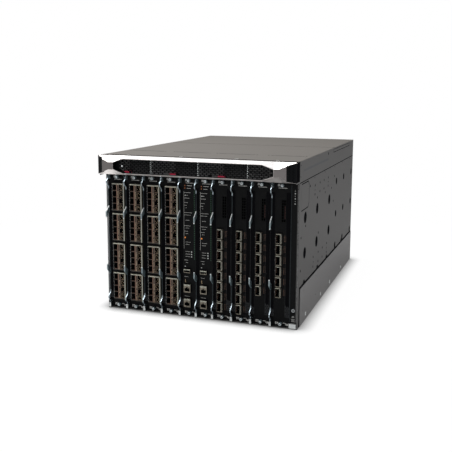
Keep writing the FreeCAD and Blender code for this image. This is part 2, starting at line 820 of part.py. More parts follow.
def fan_tray(left):
    x0 = left + tray_play
    x1 = left + tray_cell - tray_play
    z0 = floor_sheet + tray_play
    z1 = shelf_z - tray_play
    front = tray_front
    case = box(x0, x1, front, body_depth, z0, z1)
    case = case.cut(box(x0 + tray_wall, x1 - tray_wall, front - 1, body_depth - tray_wall,
                        z0 + tray_wall, z1 - tray_wall))
    half = fan_frame / 2 - fan_lap
    tall = fan_frame_height / 2 - fan_lap
    holes = [box(x - half, x + half, body_depth - tray_wall - 1, body_depth + 1, z - tall, z + tall)
             for x, z in fan_places(left)]
    case = case.cut(Part.makeCompound(holes))
    middle = (x0 + x1) / 2
    centre_z = (z0 + z1) / 2
    rear = body_depth
    span = tray_handle_span / 2
    thick = tray_handle
    grip = box(middle - thick / 2, middle + thick / 2, rear + tray_handle_reach - thick, rear + tray_handle_reach,
               centre_z - span, centre_z + span)
    posts = [box(middle - thick / 2, middle + thick / 2, rear, rear + tray_handle_reach, z, z + thick)
             for z in (centre_z - span, centre_z + span - thick)]
    solids = [case, joined([grip] + posts)]
    solids += [many_sided(middle, rear, z, tray_screw_radius, tray_screw_length, "y", knob_sides)
               for z in (z0 + 12, z1 - 12)]
    solids += [fan_housing(x, z) for x, z in fan_places(left)]
    return solids


def fabric_modules():
    solids = []
    high = shelf_z - fabric_drop
    for number in range(tray_count):
        x = -side_in + (number + 0.5) * tray_cell
        solids.append(box(x - fabric_width / 2, x + fabric_width / 2, midplane_rear + fabric_gap,
                          midplane_rear + fabric_gap + fabric_depth, floor_sheet, high))
    return solids


# ---- export ----

def names():
    """Module names in slot order."""
    counts = {}
    result = []
    for kind, left, pitch in module_slots():
        family = "uplink" if kind.startswith("uplink") else kind
        counts[family] = counts.get(family, 0) + 1
        result.append(family + "_module_" + str(counts[family]))
    return result


export("chassis_shell", chassis_shell())
export("top_cover", top_cover())
export("side_panels", side_panels())
export("midplane", midplane_board())
export("bezel_frame", bezel_frame())
export("bezel_grille", bezel_grille())
export("power_supplies", power_supplies())
export("power_inlets", power_inlets())
export("fabric_modules", fabric_modules())

for name, (kind, left, pitch) in zip(names(), module_slots()):
    centre = left + lever_offset
    export(name, module(kind, left, pitch))
    export(name + "_lower_lever", [lever(centre, lever_low_z, 1)])
    export(name + "_upper_lever", [lever(centre, lever_high_z, -1)])

for tray in range(tray_count):
    tray_left = -side_in + tray * tray_cell
    export("fan_tray_" + str(tray + 1), fan_tray(tray_left))
    for number, (x, z) in enumerate(fan_places(tray_left)):
        export("fan_" + str(tray + 1) + "_rotor_" + str(number + 1), [fan_rotor(x, z)])
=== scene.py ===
import math
import random

import bmesh
import bpy
from mathutils import Matrix, Vector


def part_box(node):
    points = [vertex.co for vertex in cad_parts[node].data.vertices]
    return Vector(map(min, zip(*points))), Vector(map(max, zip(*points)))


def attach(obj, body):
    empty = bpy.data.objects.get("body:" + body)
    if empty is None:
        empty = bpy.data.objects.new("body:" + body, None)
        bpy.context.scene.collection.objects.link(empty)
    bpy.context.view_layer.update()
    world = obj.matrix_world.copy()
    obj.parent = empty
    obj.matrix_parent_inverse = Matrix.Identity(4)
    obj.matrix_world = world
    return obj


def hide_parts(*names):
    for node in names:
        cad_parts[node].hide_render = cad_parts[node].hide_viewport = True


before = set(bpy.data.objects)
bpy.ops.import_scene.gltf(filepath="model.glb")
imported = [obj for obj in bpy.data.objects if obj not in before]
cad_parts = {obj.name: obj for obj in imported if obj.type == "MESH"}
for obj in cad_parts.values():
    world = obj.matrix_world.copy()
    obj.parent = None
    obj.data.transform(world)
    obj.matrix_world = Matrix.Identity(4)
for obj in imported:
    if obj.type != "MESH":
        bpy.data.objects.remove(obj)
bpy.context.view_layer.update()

# Lengths below are millimetres. Y = 0 is the front edge of the lower case, Z = 0 its underside.
mm = 0.001
sharpAngle = 0.3
screwFront = -4.0
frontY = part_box("line_module_1")[0][1] / mm - screwFront


def nodeBox(node):
    shift = Vector((0, frontY, 0))
    return [Vector(corner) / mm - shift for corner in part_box(node)]


def nodeMiddle(node):
    low, high = nodeBox(node)
    return (low.x + high.x) / 2, (low.z + high.z) / 2


class Sock:
    def __init__(self, shader, socket):
        self.shader = shader
        self.socket = socket

    def maths(self, kind, other):
        return self.shader.node("Math", "Value", [self, other], operation=kind)

    def __add__(self, other):
        return self.maths("ADD", other)

    def __mul__(self, other):
        return self.maths("MULTIPLY", other)

    __radd__ = __add__
    __rmul__ = __mul__


class Shader:
    def __init__(self, name):
        self.material = bpy.data.materials.new(name)
        self.material.use_nodes = True
        self.tree = self.material.node_tree
        self.surface = self.tree.nodes["Principled BSDF"]

    def node(self, kind, output, inputs=(), **settings):
        made = self.tree.nodes.new("ShaderNode" + kind)
        for key, value in settings.items():
            setattr(made, key, value)
        pairs = inputs.items() if isinstance(inputs, dict) else enumerate(inputs)
        for key, value in pairs:
            if isinstance(value, Sock):
                self.tree.links.new(value.socket, made.inputs[key])
            else:
                made.inputs[key].default_value = value
        return Sock(self, made.outputs[output])

    def place(self):
        return self.node("TexCoord", "Object")

    def noise(self, scale, detail=2.0):
        return self.node("TexNoise", "Fac", {"Vector": self.place(), "Scale": scale, "Detail": detail})

    def mix(self, factor, first, second):
        made = self.tree.nodes.new("ShaderNodeMix")
        made.data_type = "RGBA"
        self.tree.links.new(factor.socket, made.inputs["Factor"])
        for key, value in (("A", first), ("B", second)):
            socket = [s for s in made.inputs if s.name == key and s.type == "RGBA"][0]
            if isinstance(value, Sock):
                self.tree.links.new(value.socket, socket)
            else:
                socket.default_value = (*value, 1)
        return Sock(self, [s for s in made.outputs if s.type == "RGBA"][0])

    def ramp(self, factor, low, high):
        return self.node("MapRange", "Result", {"Value": factor, "To Min": low, "To Max": high})

    def bump(self, height, strength, distance):
        inputs = {"Height": height, "Strength": strength, "Distance": distance * mm}
        return self.node("Bump", "Normal", inputs)

    def set(self, **values):
        for key, value in values.items():
            socket = self.surface.inputs[key.replace("_", " ")]
            if isinstance(value, Sock):
                self.tree.links.new(value.socket, socket)
            elif isinstance(value, tuple):
                socket.default_value = (*value, 1)
            else:
                socket.default_value = value


def tinted(color, factor):
    return tuple(min(1, c * factor) for c in color)


def paint(name, color, rough, spread=0.12, grain=900, grainDepth=0.02, metal=0.0, coat=0.0, cloud=7,
          shine=0.5):
    shader = Shader(name)
    patch = shader.noise(cloud, 4)
    fine = shader.noise(grain, 2)
    base = shader.mix(patch, tinted(color, 1 - spread), tinted(color, 1 + spread))
    shader.set(Base_Color=shader.mix(fine * 0.25, base, tinted(color, 1.25)), Specular_IOR_Level=shine)
    shader.set(Roughness=shader.ramp(patch * 0.6 + fine * 0.4, rough - 0.06, rough + 0.06))
    shader.set(Normal=shader.bump(fine, 0.35, grainDepth), Metallic=metal, Coat_Weight=coat)
    return shader.material


def brushed(name, color, rough, along=(30, 30, 900), metal=1.0):
    shader = Shader(name)
    stretched = shader.node("Mapping", "Vector", {"Vector": shader.place(), "Scale": along})
    streak = shader.node("TexNoise", "Fac", {"Vector": stretched, "Scale": 1.0, "Detail": 3.0})
    patch = shader.noise(40, 3)
    shader.set(Base_Color=shader.mix(streak * 0.7 + patch * 0.3, tinted(color, 0.82), tinted(color, 1.15)))
    shader.set(Roughness=shader.ramp(streak, rough - 0.08, rough + 0.1), Metallic=metal)
    shader.set(Normal=shader.bump(streak, 0.2, 0.01))
    return shader.material


def lamp(name, color, glow):
    shader = Shader(name)
    shader.set(Base_Color=shader.mix(shader.noise(300), tinted(color, 0.85), color), Roughness=0.35)
    if glow:
        shader.set(Emission_Color=color, Emission_Strength=glow)
    return shader.material


print("materials")
sheet = dict(grain=1400, cloud=3, shine=0.35)
moulded = dict(grain=2200, grainDepth=0.008)
silvered = dict(metal=0.7, coat=0.2, spread=0.03, **moulded)
# maker, material name, colour, roughness or a lamp's glow, other settings
lookSettings = {
    "cover": (paint, "coverPaint", (0.138, 0.128, 0.117), 0.55, dict(spread=0.05, **sheet)),
    "case": (paint, "casePaint", (0.080, 0.078, 0.077), 0.55, dict(spread=0.08, **sheet)),
    "panel": (paint, "panelPaint", (0.185, 0.181, 0.182), 0.55, dict(spread=0.07, **sheet)),
    "silver": (paint, "bezelSilver", (0.78, 0.735, 0.715), 0.36, silvered),
    # darker copy of the silver for the pillars' front faces: painted shade
    "pillar": (paint, "bezelPillar", (0.22, 0.20, 0.196), 0.4,
               dict(spread=0.04, metal=0.3, coat=0.1, **moulded)),
    # lighter copy of the silver for the up-facing facets: painted highlight
    "crown": (paint, "bezelCrown", (0.93, 0.90, 0.89), 0.4,
              dict(spread=0.03, metal=0.2, coat=0.1, **moulded)),
    # flat black sheet behind the vents: painted shade
    "void": (paint, "ventVoid", (0.0008, 0.0008, 0.0009), 0.9, dict(spread=0.1, shine=0.0)),
    "black": (paint, "bezelBlack", (0.0045, 0.0052, 0.0062), 0.42,
              dict(spread=0.2, grain=1200, grainDepth=0.03, shine=0.12)),
    "faceplate": (paint, "faceplateBlack", (0.0060, 0.0063, 0.0068), 0.5,
                  dict(spread=0.15, grain=1300, shine=0.08)),
    "zinc": (brushed, "zincPlate", (0.46, 0.54, 0.59), 0.36, dict(along=(900, 900, 40))),
    "cage": (brushed, "cageMetal", (0.26, 0.235, 0.19), 0.42, dict(along=(600, 60, 600), metal=0.85)),
    "finger": (brushed, "fingerMetal", (0.42, 0.40, 0.34), 0.32, dict(along=(60, 60, 1500))),
    "copper": (paint, "copperGasket", (0.25, 0.145, 0.105), 0.6,
               dict(spread=0.25, grainDepth=0.06, metal=0.35)),
    "arm": (paint, "leverArm", (0.020, 0.029, 0.034), 0.38, dict(spread=0.15, grain=1400, metal=0.4)),
    "blade": (paint, "leverBlade", (0.15, 0.20, 0.22), 0.4, dict(spread=0.1, grain=1400, metal=0.2)),
    "lip": (paint, "bladeLip", (0.29, 0.36, 0.38), 0.4, dict(spread=0.08, grain=1600, metal=0.2)),
    # near-white with little metal for the captive screws' heads: painted highlight
    "screw": (paint, "screwBright", (0.82, 0.90, 0.94), 0.3, dict(spread=0.1, grain=1600, metal=0.1)),
    # dark grey for the side groove's floor and under the cover's lances: painted shade
    "coverLine": (paint, "coverLine", (0.05, 0.055, 0.06), 0.6, dict(spread=0.1, grain=1400)),
    "edge": (paint, "litEdge", (0.86, 0.90, 0.90), 0.4, dict(spread=0.05, grain=1600)),
    "rim": (brushed, "cageRim", (0.47, 0.48, 0.41), 0.4, dict(along=(400, 60, 400), metal=0.6)),
    "gold": (paint, "goldSprings", (0.66, 0.48, 0.29), 0.4, dict(spread=0.3, grainDepth=0.04, metal=0.2)),
    "dark": (paint, "cageFace", (0.060, 0.052, 0.045), 0.55, dict(spread=0.25, metal=0.3, shine=0.3)),
    "ember": (paint, "innerBoardRed", (0.055, 0.012, 0.009), 0.5, dict(spread=0.5, grain=400)),
    "tag": (paint, "plainTag", (0.60, 0.60, 0.58), 0.6, dict(spread=0.2, grain=500)),
    # perforated strips, and the dark ring of painted shade round each large hole in the side walls
    "punched": (paint, "punchedMetal", (0.022, 0.024, 0.026), 0.5, dict(spread=0.15, grain=1300, shine=0.25)),
    # flat near-black: painted shade in holes, ports, slots, gaps, seams and recesses, and a few plain black
    # marks
    "cavity": (paint, "cavityDark", (0.006, 0.006, 0.007), 0.8, dict(shine=0.0)),
    "steel": (brushed, "screwSteel", (0.42, 0.44, 0.45), 0.3, dict(along=(400, 400, 400))),
    "board": (paint, "boardGreen", (0.012, 0.060, 0.030), 0.35, dict(spread=0.25, grain=700, coat=0.4)),
    "fan": (paint, "fanPlastic", (0.020, 0.020, 0.021), 0.48,
            dict(spread=0.15, grain=1500, grainDepth=0.015)),
    "tray": (paint, "traySteel", (0.10, 0.10, 0.10), 0.5, dict(spread=0.08, grain=1400)),
    "print": (paint, "whitePrint", (0.52, 0.52, 0.50), 0.6, dict(spread=0.05, grain=2000)),
    "red": (paint, "latchRed", (0.62, 0.02, 0.07), 0.35, dict(spread=0.1, grain=1500, coat=0.4)),
    # lamp lenses, and the same faint glow on contact dots, springs and fan hubs: painted glints
    "lens": (lamp, "lampLens", (0.55, 0.57, 0.56), 0.15, {}),
    # white lamp, and the same glow on the grille's divider dots and the cover's clips: painted highlights
    "white": (lamp, "lampWhite", (0.75, 0.80, 0.80), 0.6, {}),
    "orange": (lamp, "lampOrange", (0.75, 0.24, 0.03), 0.5, {}),
    "amber": (lamp, "printAmber", (0.45, 0.13, 0.03), 0.0, {}),
    "green": (lamp, "lampGreen", (0.02, 0.09, 0.045), 0.0, {}),
}
look = {kind: make(name, color, value, **more)
        for kind, (make, name, color, value, more) in lookSettings.items()}


def span(middle, half):
    return middle - half, middle + half


def rect(a0, a1, b0, b1):
    return [(a0, b0), (a1, b0), (a1, b1), (a0, b1)]


def around(a, b, halfA, halfB):
    return rect(*span(a, halfA), *span(b, halfB))


def ring(a, b, radius, sides=24, phase=0.5):
    turns = [2 * math.pi * (i + phase) / sides for i in range(sides)]
    return [(a + radius * math.cos(turn), b + radius * math.sin(turn)) for turn in turns]


class Builder:
    # one piece's mesh; bevels take its first look
    def __init__(self, name, kind):
        self.name = name
        self.looks = [kind]
        self.bm = bmesh.new()

    def index(self, kind):
        if kind not in self.looks:
            self.looks.append(kind)
        return self.looks.index(kind)

    def settle(self, verts, kind, bevel=0.0, segments=1):
        index = self.index(kind)
        for face in {face for vert in verts for face in vert.link_faces}:
            face.material_index = index
        if bevel:
            edges = list({edge for vert in verts for edge in vert.link_edges})
            sharp = [edge for edge in edges if edge.calc_face_angle(0) > sharpAngle]
            bmesh.ops.bevel(self.bm, geom=sharp, offset=bevel, segments=segments, profile=0.6,
                            affect="EDGES", clamp_overlap=True)

    def box(self, kind, xs, ys, zs, bevel=0.0, segments=1):
        middle = Vector([sum(pair) / 2 for pair in (xs, ys, zs)])
        size = [abs(pair[1] - pair[0]) for pair in (xs, ys, zs)]
        matrix = Matrix.Translation(middle) @ Matrix.Diagonal((*size, 1))
        made = bmesh.ops.create_cube(self.bm, size=1, matrix=matrix)
        self.settle(made["verts"], kind, bevel, segments)

    def place(self, axis, depth, a, b):
        return {"x": (depth, a, b), "y": (a, depth, b), "z": (a, b, depth)}[axis]

    def tile(self, kind, axis, centre, halves, depths, bevel=0.0):
        # box from depths[0] to depths[1] along the axis, given by its middle and half sizes across it
        self.box(kind, *self.place(axis, depths, *map(span, centre, halves)), bevel)

    def plate(self, kind, axis, depths, outline, holes=(), bevel=0.0):
        # flat sheet of any outline, with holes, from depths[0] to depths[1] along the axis
        edges = []
        for loop in [outline, *holes]:
            verts = [self.bm.verts.new(self.place(axis, depths[0], a, b)) for a, b in loop]
            edges += [self.bm.edges.new((verts[i - 1], verts[i])) for i in range(len(verts))]
        filled = bmesh.ops.triangle_fill(self.bm, use_beauty=True, use_dissolve=False, edges=edges)
        if bevel:
            faces = [item for item in filled["geom"] if isinstance(item, bmesh.types.BMFace)]
            inside = list({edge for face in faces for edge in face.edges})
            bmesh.ops.dissolve_limit(self.bm, angle_limit=0.01, verts=[], edges=inside)
        faces = list({f for edge in edges if edge.is_valid for vert in edge.verts for f in vert.link_faces})
        made = bmesh.ops.extrude_face_region(self.bm, geom=faces)
        verts = [item for item in made["geom"] if isinstance(item, bmesh.types.BMVert)]
        bmesh.ops.translate(self.bm, vec=self.place(axis, depths[1] - depths[0], 0, 0), verts=verts)
        whole = list({vert for face in faces if face.is_valid for vert in face.verts} | set(verts))
        bmesh.ops.recalc_face_normals(self.bm, faces=list({f for v in whole for f in v.link_faces}))
        self.settle(whole, kind, bevel)

    def rod(self, kind, axis, centre, radius, depths, sides=24, bevel=0.0):
        self.plate(kind, axis, depths, ring(*centre, radius, sides, 0), (), bevel)

    def add(self, other, shift):
        # a copy of another builder's mesh, moved
        mesh = bpy.data.meshes.new("part")
        other.bm.to_mesh(mesh)
        mesh.transform(Matrix.Translation(Vector(shift)))
        before = len(self.bm.faces)
        self.bm.from_mesh(mesh)
        self.bm.faces.ensure_lookup_table()
        slots = [self.index(kind) for kind in other.looks]
        for face in self.bm.faces[before:]:
            face.material_index = slots[face.material_index]
        bpy.data.meshes.remove(mesh)

    def done(self, body, slot, node, smooth=False):
        bmesh.ops.transform(self.bm, verts=self.bm.verts,
                            matrix=Matrix.Diagonal((mm, mm, mm, 1)) @ Matrix.Translation((0, frontY, 0)))
        mesh = bpy.data.meshes.new(self.name)
        self.bm.to_mesh(mesh)
        self.bm.free()
        for kind in self.looks:
            mesh.materials.append(look[kind])
        if smooth:
            mesh.polygons.foreach_set("use_smooth", [True] * len(mesh.polygons))
            mesh.set_sharp_from_angle(angle=math.radians(35))
        piece = bpy.data.objects.new(self.name, mesh)
        bpy.context.collection.objects.link(piece)
        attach(piece, body)
        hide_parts(node)


print("camera")
cameraSettings = {
    "place": (534.521, -1319.547, 490.665), "yaw": 19.68, "pitch": -8.602, "roll": -0.245,
    "focal": 680.75, "centre": (225.998, 192.554), "frame": 452.0, "sensor": 36.0}


def makeCamera(s):
    data = bpy.data.cameras.new("camera")
    data.sensor_width = s["sensor"]
    data.lens = s["sensor"] * s["focal"] / s["frame"]
    data.shift_x = (s["frame"] / 2 - s["centre"][0]) / s["frame"]
    data.shift_y = (s["centre"][1] - s["frame"] / 2) / s["frame"]
    data.clip_end = 50
    camera = bpy.data.objects.new("camera", data)
    turn = Matrix()
    for angle, axis in ((s["yaw"], "Z"), (s["pitch"], "X"), (s["roll"], "Y"), (90, "X")):
        turn = turn @ Matrix.Rotation(math.radians(angle), 4, axis)
    place = (Vector(s["place"]) + Vector((0, frontY, 0))) * mm
    camera.matrix_world = Matrix.Translation(place) @ turn
    bpy.context.collection.objects.link(camera)
    bpy.context.scene.camera = camera


makeCamera(cameraSettings)

lightSettings = {
    "key": {"place": (-1.0, -0.9, 3.8), "size": 2.2, "power": 30},
    "front": {"place": (0.1, -4.1, 1.7), "size": 2.0, "power": 27},
    "side": {"place": (3.4, 1.6, 0.9), "size": 2.0, "power": 56},
    "top": {"place": (-0.58, -0.15, 1.7), "size": 1.2, "power": 34},
}
surroundings = {
    "aim": (0, 0, 0.15), "seen": 1.0, "light": 0.16, "floor": 0.8, "gloss": 0.1, "own": 0.1,
    "touch": 0.036, "open": 1.08, "darkest": (0.45, 0.25), "fade": (0.5, 1.1), "white": (1, 1, 1, 1),
    "size": 12, "drop": 0.0005}


def makeLights(s):
    for name, one in lightSettings.items():
        data = bpy.data.lights.new(name, "AREA")
        data.size = one["size"]
        data.energy = one["power"]
        light = bpy.data.objects.new(name, data)
        light.location = one["place"]
        aim = Vector(s["aim"]) - Vector(one["place"])
        light.rotation_euler = aim.to_track_quat("-Z", "Y").to_euler()
        bpy.context.collection.objects.link(light)
    world = bpy.data.worlds.new("world")
    world.use_nodes = True
    tree = world.node_tree
    background = tree.nodes["Background"]
    ray = tree.nodes.new("ShaderNodeLightPath")
    strength = tree.nodes.new("ShaderNodeMapRange")
    strength.inputs["To Min"].default_value = s["light"]
    strength.inputs["To Max"].default_value = s["seen"]
    tree.links.new(ray.outputs["Is Camera Ray"], strength.inputs["Value"])
    tree.links.new(strength.outputs[0], background.inputs["Strength"])
    background.inputs["Color"].default_value = s["white"]
    bpy.context.scene.world = world
    bpy.context.scene.view_settings.view_transform = "Standard"


def makeFloor(s):
    # white to the camera, darkened where the part stands close by, with a little of its own shading
    bm = bmesh.new()
    bmesh.ops.create_grid(bm, x_segments=1, y_segments=1, size=s["size"])
    mesh = bpy.data.meshes.new("floor")
    bm.to_mesh(mesh)
    bm.free()
    shader = Shader("floorWhite")
    shader.set(Base_Color=(s["floor"],) * 3, Roughness=s["gloss"])
    ray = shader.node("LightPath", "Is Camera Ray")
    openness = shader.node("AmbientOcclusion", "AO", {"Distance": s["touch"]})
    closed, dimmed = s["darkest"]
    bright = shader.node("MapRange", "Result",
                         {"Value": openness, "From Min": closed, "To Min": dimmed, "To Max": s["open"]})
    glow = shader.node("Emission", "Emission", {"Color": s["white"], "Strength": bright})
    own = Sock(shader, shader.surface.outputs[0])
    near = shader.node("MixShader", "Shader", {0: ray * (1 - s["own"]), 1: own, 2: glow})
    away = shader.node("VectorMath", "Value", {0: shader.place()}, operation="LENGTH")
    start, end = s["fade"]
    fade = shader.node("MapRange", "Result", {"Value": away, "From Min": start, "From Max": end})
    white = shader.node("Emission", "Emission", {"Color": s["white"], "Strength": 1.0})
    both = shader.node("MixShader", "Shader", {0: fade * ray, 1: near, 2: white})
    shader.tree.links.new(both.socket, shader.tree.nodes["Material Output"].inputs["Surface"])
    mesh.materials.append(shader.material)
    floor = bpy.data.objects.new("floor", mesh)
    floor.location.z = -s["drop"]
    bpy.context.collection.objects.link(floor)


makeLights(surroundings)
makeFloor(surroundings)


def fromNode(node, name, kind, bevel):
    # merged copy of a frame node's mesh with its edges softened
    b = Builder(name, kind)
    b.bm.from_mesh(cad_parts[node].data)
    bmesh.ops.remove_doubles(b.bm, verts=b.bm.verts, dist=0.00001)
    bmesh.ops.transform(b.bm, verts=b.bm.verts, matrix=Matrix.Translation((0, -frontY, 0))
                        @ Matrix.Diagonal((1 / mm, 1 / mm, 1 / mm, 1)))
    bmesh.ops.dissolve_limit(b.bm, angle_limit=0.02, verts=b.bm.verts, edges=b.bm.edges)
    for face in b.bm.faces:
        face.material_index = 0
    edges = [edge for edge in b.bm.edges if edge.is_manifold and edge.calc_face_angle(0) > sharpAngle]
    bmesh.ops.bevel(b.bm, geom=edges, offset=bevel, segments=2, profile=0.5, affect="EDGES",
                    clamp_overlap=True, material=-1)
    return b


print("bezel")
bezelSettings = {
    "softness": 0.35, "middle": 329.5, "panelFace": -31.4, "panelBack": -29.4, "half": 212.7,
    "low": 312.3, "high": 346.7, "rows": 8, "rowPitch": 3.9, "slotLong": 7.4, "slotTall": 2.5,
    "slotPitch": 9.4, "slotHalf": 170.0, "windowHalf": 179.5, "windowTall": 18.5, "pillarIn": 2.0,
    "cutout": (-11.0, 19.0, 1.2, 5.4), "gap": 0.5, "lamp": (-162.5, 328.1), "lampRadius": 1.9,
    "dividerXs": (-95.6, 11.8, 119.2), "dividerZs": [316.0 + step * 4.4 for step in range(7)],
    "dividerHalf": (0.5, 0.7),
    # the two ends: punched slanting cheeks, their clips and the outer wrap
    "endInner": 203.3, "endOuter": 220.4, "endZs": (313.8, 309.6, 349.4, 345.2), "endFace": -45.1,
    "endBack": -43.0, "endSlope": 0.8, "wallInner": 217.9, "clip": 1.8, "clipHalf": 8.0,
    "clipYs": (-29.7, -12.0), "endRows": 10, "endRowPitch": 2.9, "endHole": (2.0, 0.6),
    "endColumns": (3.2, 6.4, 1.6), "wrap": (219.5, 220.4), "wrapYs": (-31.0, -4.5),
    "wrapZs": (309.5, 349.7)}
supplyStart, supplyBay, supplyGap = -218.2, 109.1, 0.9
latchMiddles = [supplyStart + supplyGap + n * supplyBay + 52.5 for n in range(4)]


def makeBezel(s):
    shell = fromNode("bezel_frame", "bezelFrame", "silver", s["softness"])
    black, pillar, crown = [shell.index(kind) for kind in ("black", "pillar", "crown")]
    pillarX = s["windowHalf"] - s["pillarIn"]
    for side in (-1, 1):
        bmesh.ops.bisect_plane(shell.bm, geom=[*shell.bm.verts, *shell.bm.edges, *shell.bm.faces],
                               plane_co=(side * pillarX, 0, 0), plane_no=(1, 0, 0))
    for face in shell.bm.faces:
        spot = face.calc_center_median() - Vector((0, 0, s["middle"]))
        outward = spot.x * face.normal.x + spot.z * face.normal.z
        inWindow = abs(spot.x) < s["windowHalf"]
        # inward walls of the window take the black look: painted shade in the window
        if inWindow and abs(spot.z) < s["windowTall"] and abs(face.normal.y) < 0.5 and outward < 0:
            face.material_index = black
        # front faces of the pillars take the darker copy of the silver: painted shade
        if face.normal.y < -0.7 and abs(face.normal.z) < 0.35 and abs(spot.x) > pillarX:
            face.material_index = pillar
        # up-facing facets in the window take the lighter copy of the silver: painted highlight
        if face.normal.z > 0.25 and inWindow and outward > 0:
            face.material_index = crown
    shell.done("bezel", "bezel_silver", "bezel_frame")

    b = Builder("bezelGrille", "black")
    holes = []
    for row in range(s["rows"]):
        z = s["middle"] + (row - (s["rows"] - 1) / 2) * s["rowPitch"]
        start = -s["slotHalf"] + s["slotPitch"] / 2 * (row % 2)
        for number in range(int(2 * s["slotHalf"] / s["slotPitch"])):
            x = start + number * s["slotPitch"]
            holes.append(rect(x, x + s["slotLong"], z - s["slotTall"] / 2, z + s["slotTall"] / 2))
    # finger cut-outs over the supplies' latches, shifted as the slots are
    left, right, low, high = s["cutout"]
    cutouts = [rect(x + left, x + right, s["low"] + low, s["low"] + high) for x in latchMiddles]
    gap = s["gap"]
    holes = [h for h in holes if not any(h[1][0] > c[0][0] - gap and h[0][0] < c[1][0] + gap
                                         and h[0][1] < c[2][1] + gap for c in cutouts)]
    b.plate("black", "y", (s["panelFace"], s["panelBack"]),
            rect(-s["half"], s["half"], s["low"], s["high"]), holes + cutouts)
    for side in (-1, 1):
        inner, outer = side * s["endInner"], side * s["endOuter"]
        known = set(b.bm.verts)
        outline = list(zip((inner, outer, outer, inner), s["endZs"]))
        b.plate("black", "y", (s["endFace"], s["endBack"]), outline)
        for vert in b.bm.verts:
            if vert not in known:
                vert.co.y += (abs(vert.co.x) - s["endInner"]) * s["endSlope"]
        arm = sorted((side * s["wallInner"], side * (s["wallInner"] - s["clip"])))
        b.box("black", arm, s["clipYs"], span(s["middle"], s["clipHalf"]), 0.3)
        first, pitch, shift = s["endColumns"]
        # painted shade in the end cheeks' holes
        for row in range(s["endRows"]):
            z = s["middle"] + (row - (s["endRows"] - 1) / 2) * s["endRowPitch"]
            for column in range(2):
                x = side * (s["endInner"] + first + column * pitch + shift * (row % 2))
                y = s["endFace"] + (abs(x) - s["endInner"]) * s["endSlope"]
                b.tile("cavity", "y", (x, z), s["endHole"], (y - 0.02, y + 1.5))
        b.box("cavity", sorted(side * x for x in s["wrap"]), s["wrapYs"], s["wrapZs"], 0.2)
    # glowing white dots for the dividers behind the slots: painted highlights
    for x in s["dividerXs"]:
        for z in s["dividerZs"]:
            b.tile("white", "y", (x, z), s["dividerHalf"], (s["panelFace"] - 0.15, s["panelFace"]))
    b.rod("white", "y", s["lamp"], s["lampRadius"], (s["panelFace"] - 0.5, s["panelFace"]), 16, 0.2)
    b.done("bezel", "bezel_black", "bezel_grille")


makeBezel(bezelSettings)


print("case")
moduleNames = [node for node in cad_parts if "_module_" in node and not node.endswith("lever")]
moduleNames = sorted((n for n in moduleNames if not n.startswith("fabric")), key=lambda n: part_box(n)[0][0])
leverXs = [nodeMiddle(name + "_lower_lever")[0] for name in moduleNames]
caseSettings = {
    "wallIn": 218.2, "wallOut": 219.4, "rear": 646.0, "wallTop": 348.8, "ear": -27.0, "shelf": 304.8,
    "shelfTop": 306.0, "floor": 1.5, "sheet": 1.2, "flange": 10,
    # side walls: radius, ys and zs of the holes, then the groove, the pressed pad and the recess
    "frontHoles": (12.0, (55.0, 172.0, 310.0), (151.0, 227.0)),
    "rearHoles": (8.4, (400.0, 504.0, 622.0), (94.0, 177.0, 261.0)),
    "bracketHoles": (2.2, (145.0, 291.0), (110.0, 273.0)), "smallHole": 2.9,
    "groove": (32.0, 290.0, 328.0, 4.6), "grooveDepth": 0.6, "dotZ": {-1: 328.0, 1: 341},
    "dotRadius": 3.4, "pad": (18.0, 85.0, 247.0, 300.0), "padCut": 8, "padRise": 0.1, "padLine": 2.2,
    "halfHoles": (54.0, 187.0, 292.0, 399.0, 491.0), "halfHoleZ": 83.0, "halfHole": 10.0,
    "recess": (350.0, 580.0, 338.0, 346.5), "recessLines": (1.4, 1.0, 1.5), "seam": (0.3, 1.5),
    "seamPins": ((140, 250, 370, 480, 590), 3.5, 1.9), "earPins": (8, (318, 341), 1.6),
    # module bay: front rails, status column and card guides
    "rails": (7.0, 17.0), "railSlots": (8.5, 299.6), "railSlot": 1.9, "railEdges": (13.0, 293.0),
    "column": (201.6, 218.2), "columnFront": 3.0, "boardRear": 422.0, "lockZ": 39,
    "lampZs": (284, 273.5, 263),
    "columnMarks": ((27, 2.4), (24.5, 3.0), (20.5, 4.0), (18, 3.2), (15.5, 4.0)),
    "columnPins": [22 + step * 22.6 for step in range(13)], "guideX": 8.2, "guide": (1.3, 3),
    "guideZs": ((1.5, 16.7), (289.3, 304.8)), "supply": (4.0, 334.0),
    "springZs": [309 + step * 3 for step in range(13)], "inlets": (-163.65, -54.55, 54.55, 163.65),
    "inletZ": 328.0, "inletHalf": (16, 13.5)}
smallHoles = [(y, z) for y in (145, 197, 242, 291) for z in (283, 263)]
smallHoles += [(y, 252) for y in (172, 258, 335)] + [(y, z) for y in (141, 194, 240, 290) for z in (122, 100)]
smallHoles += [(370, 277), (190, 168), (363, 215), (96, 288), (60, 268), (60, 208), (20, 190), (20, 120)]


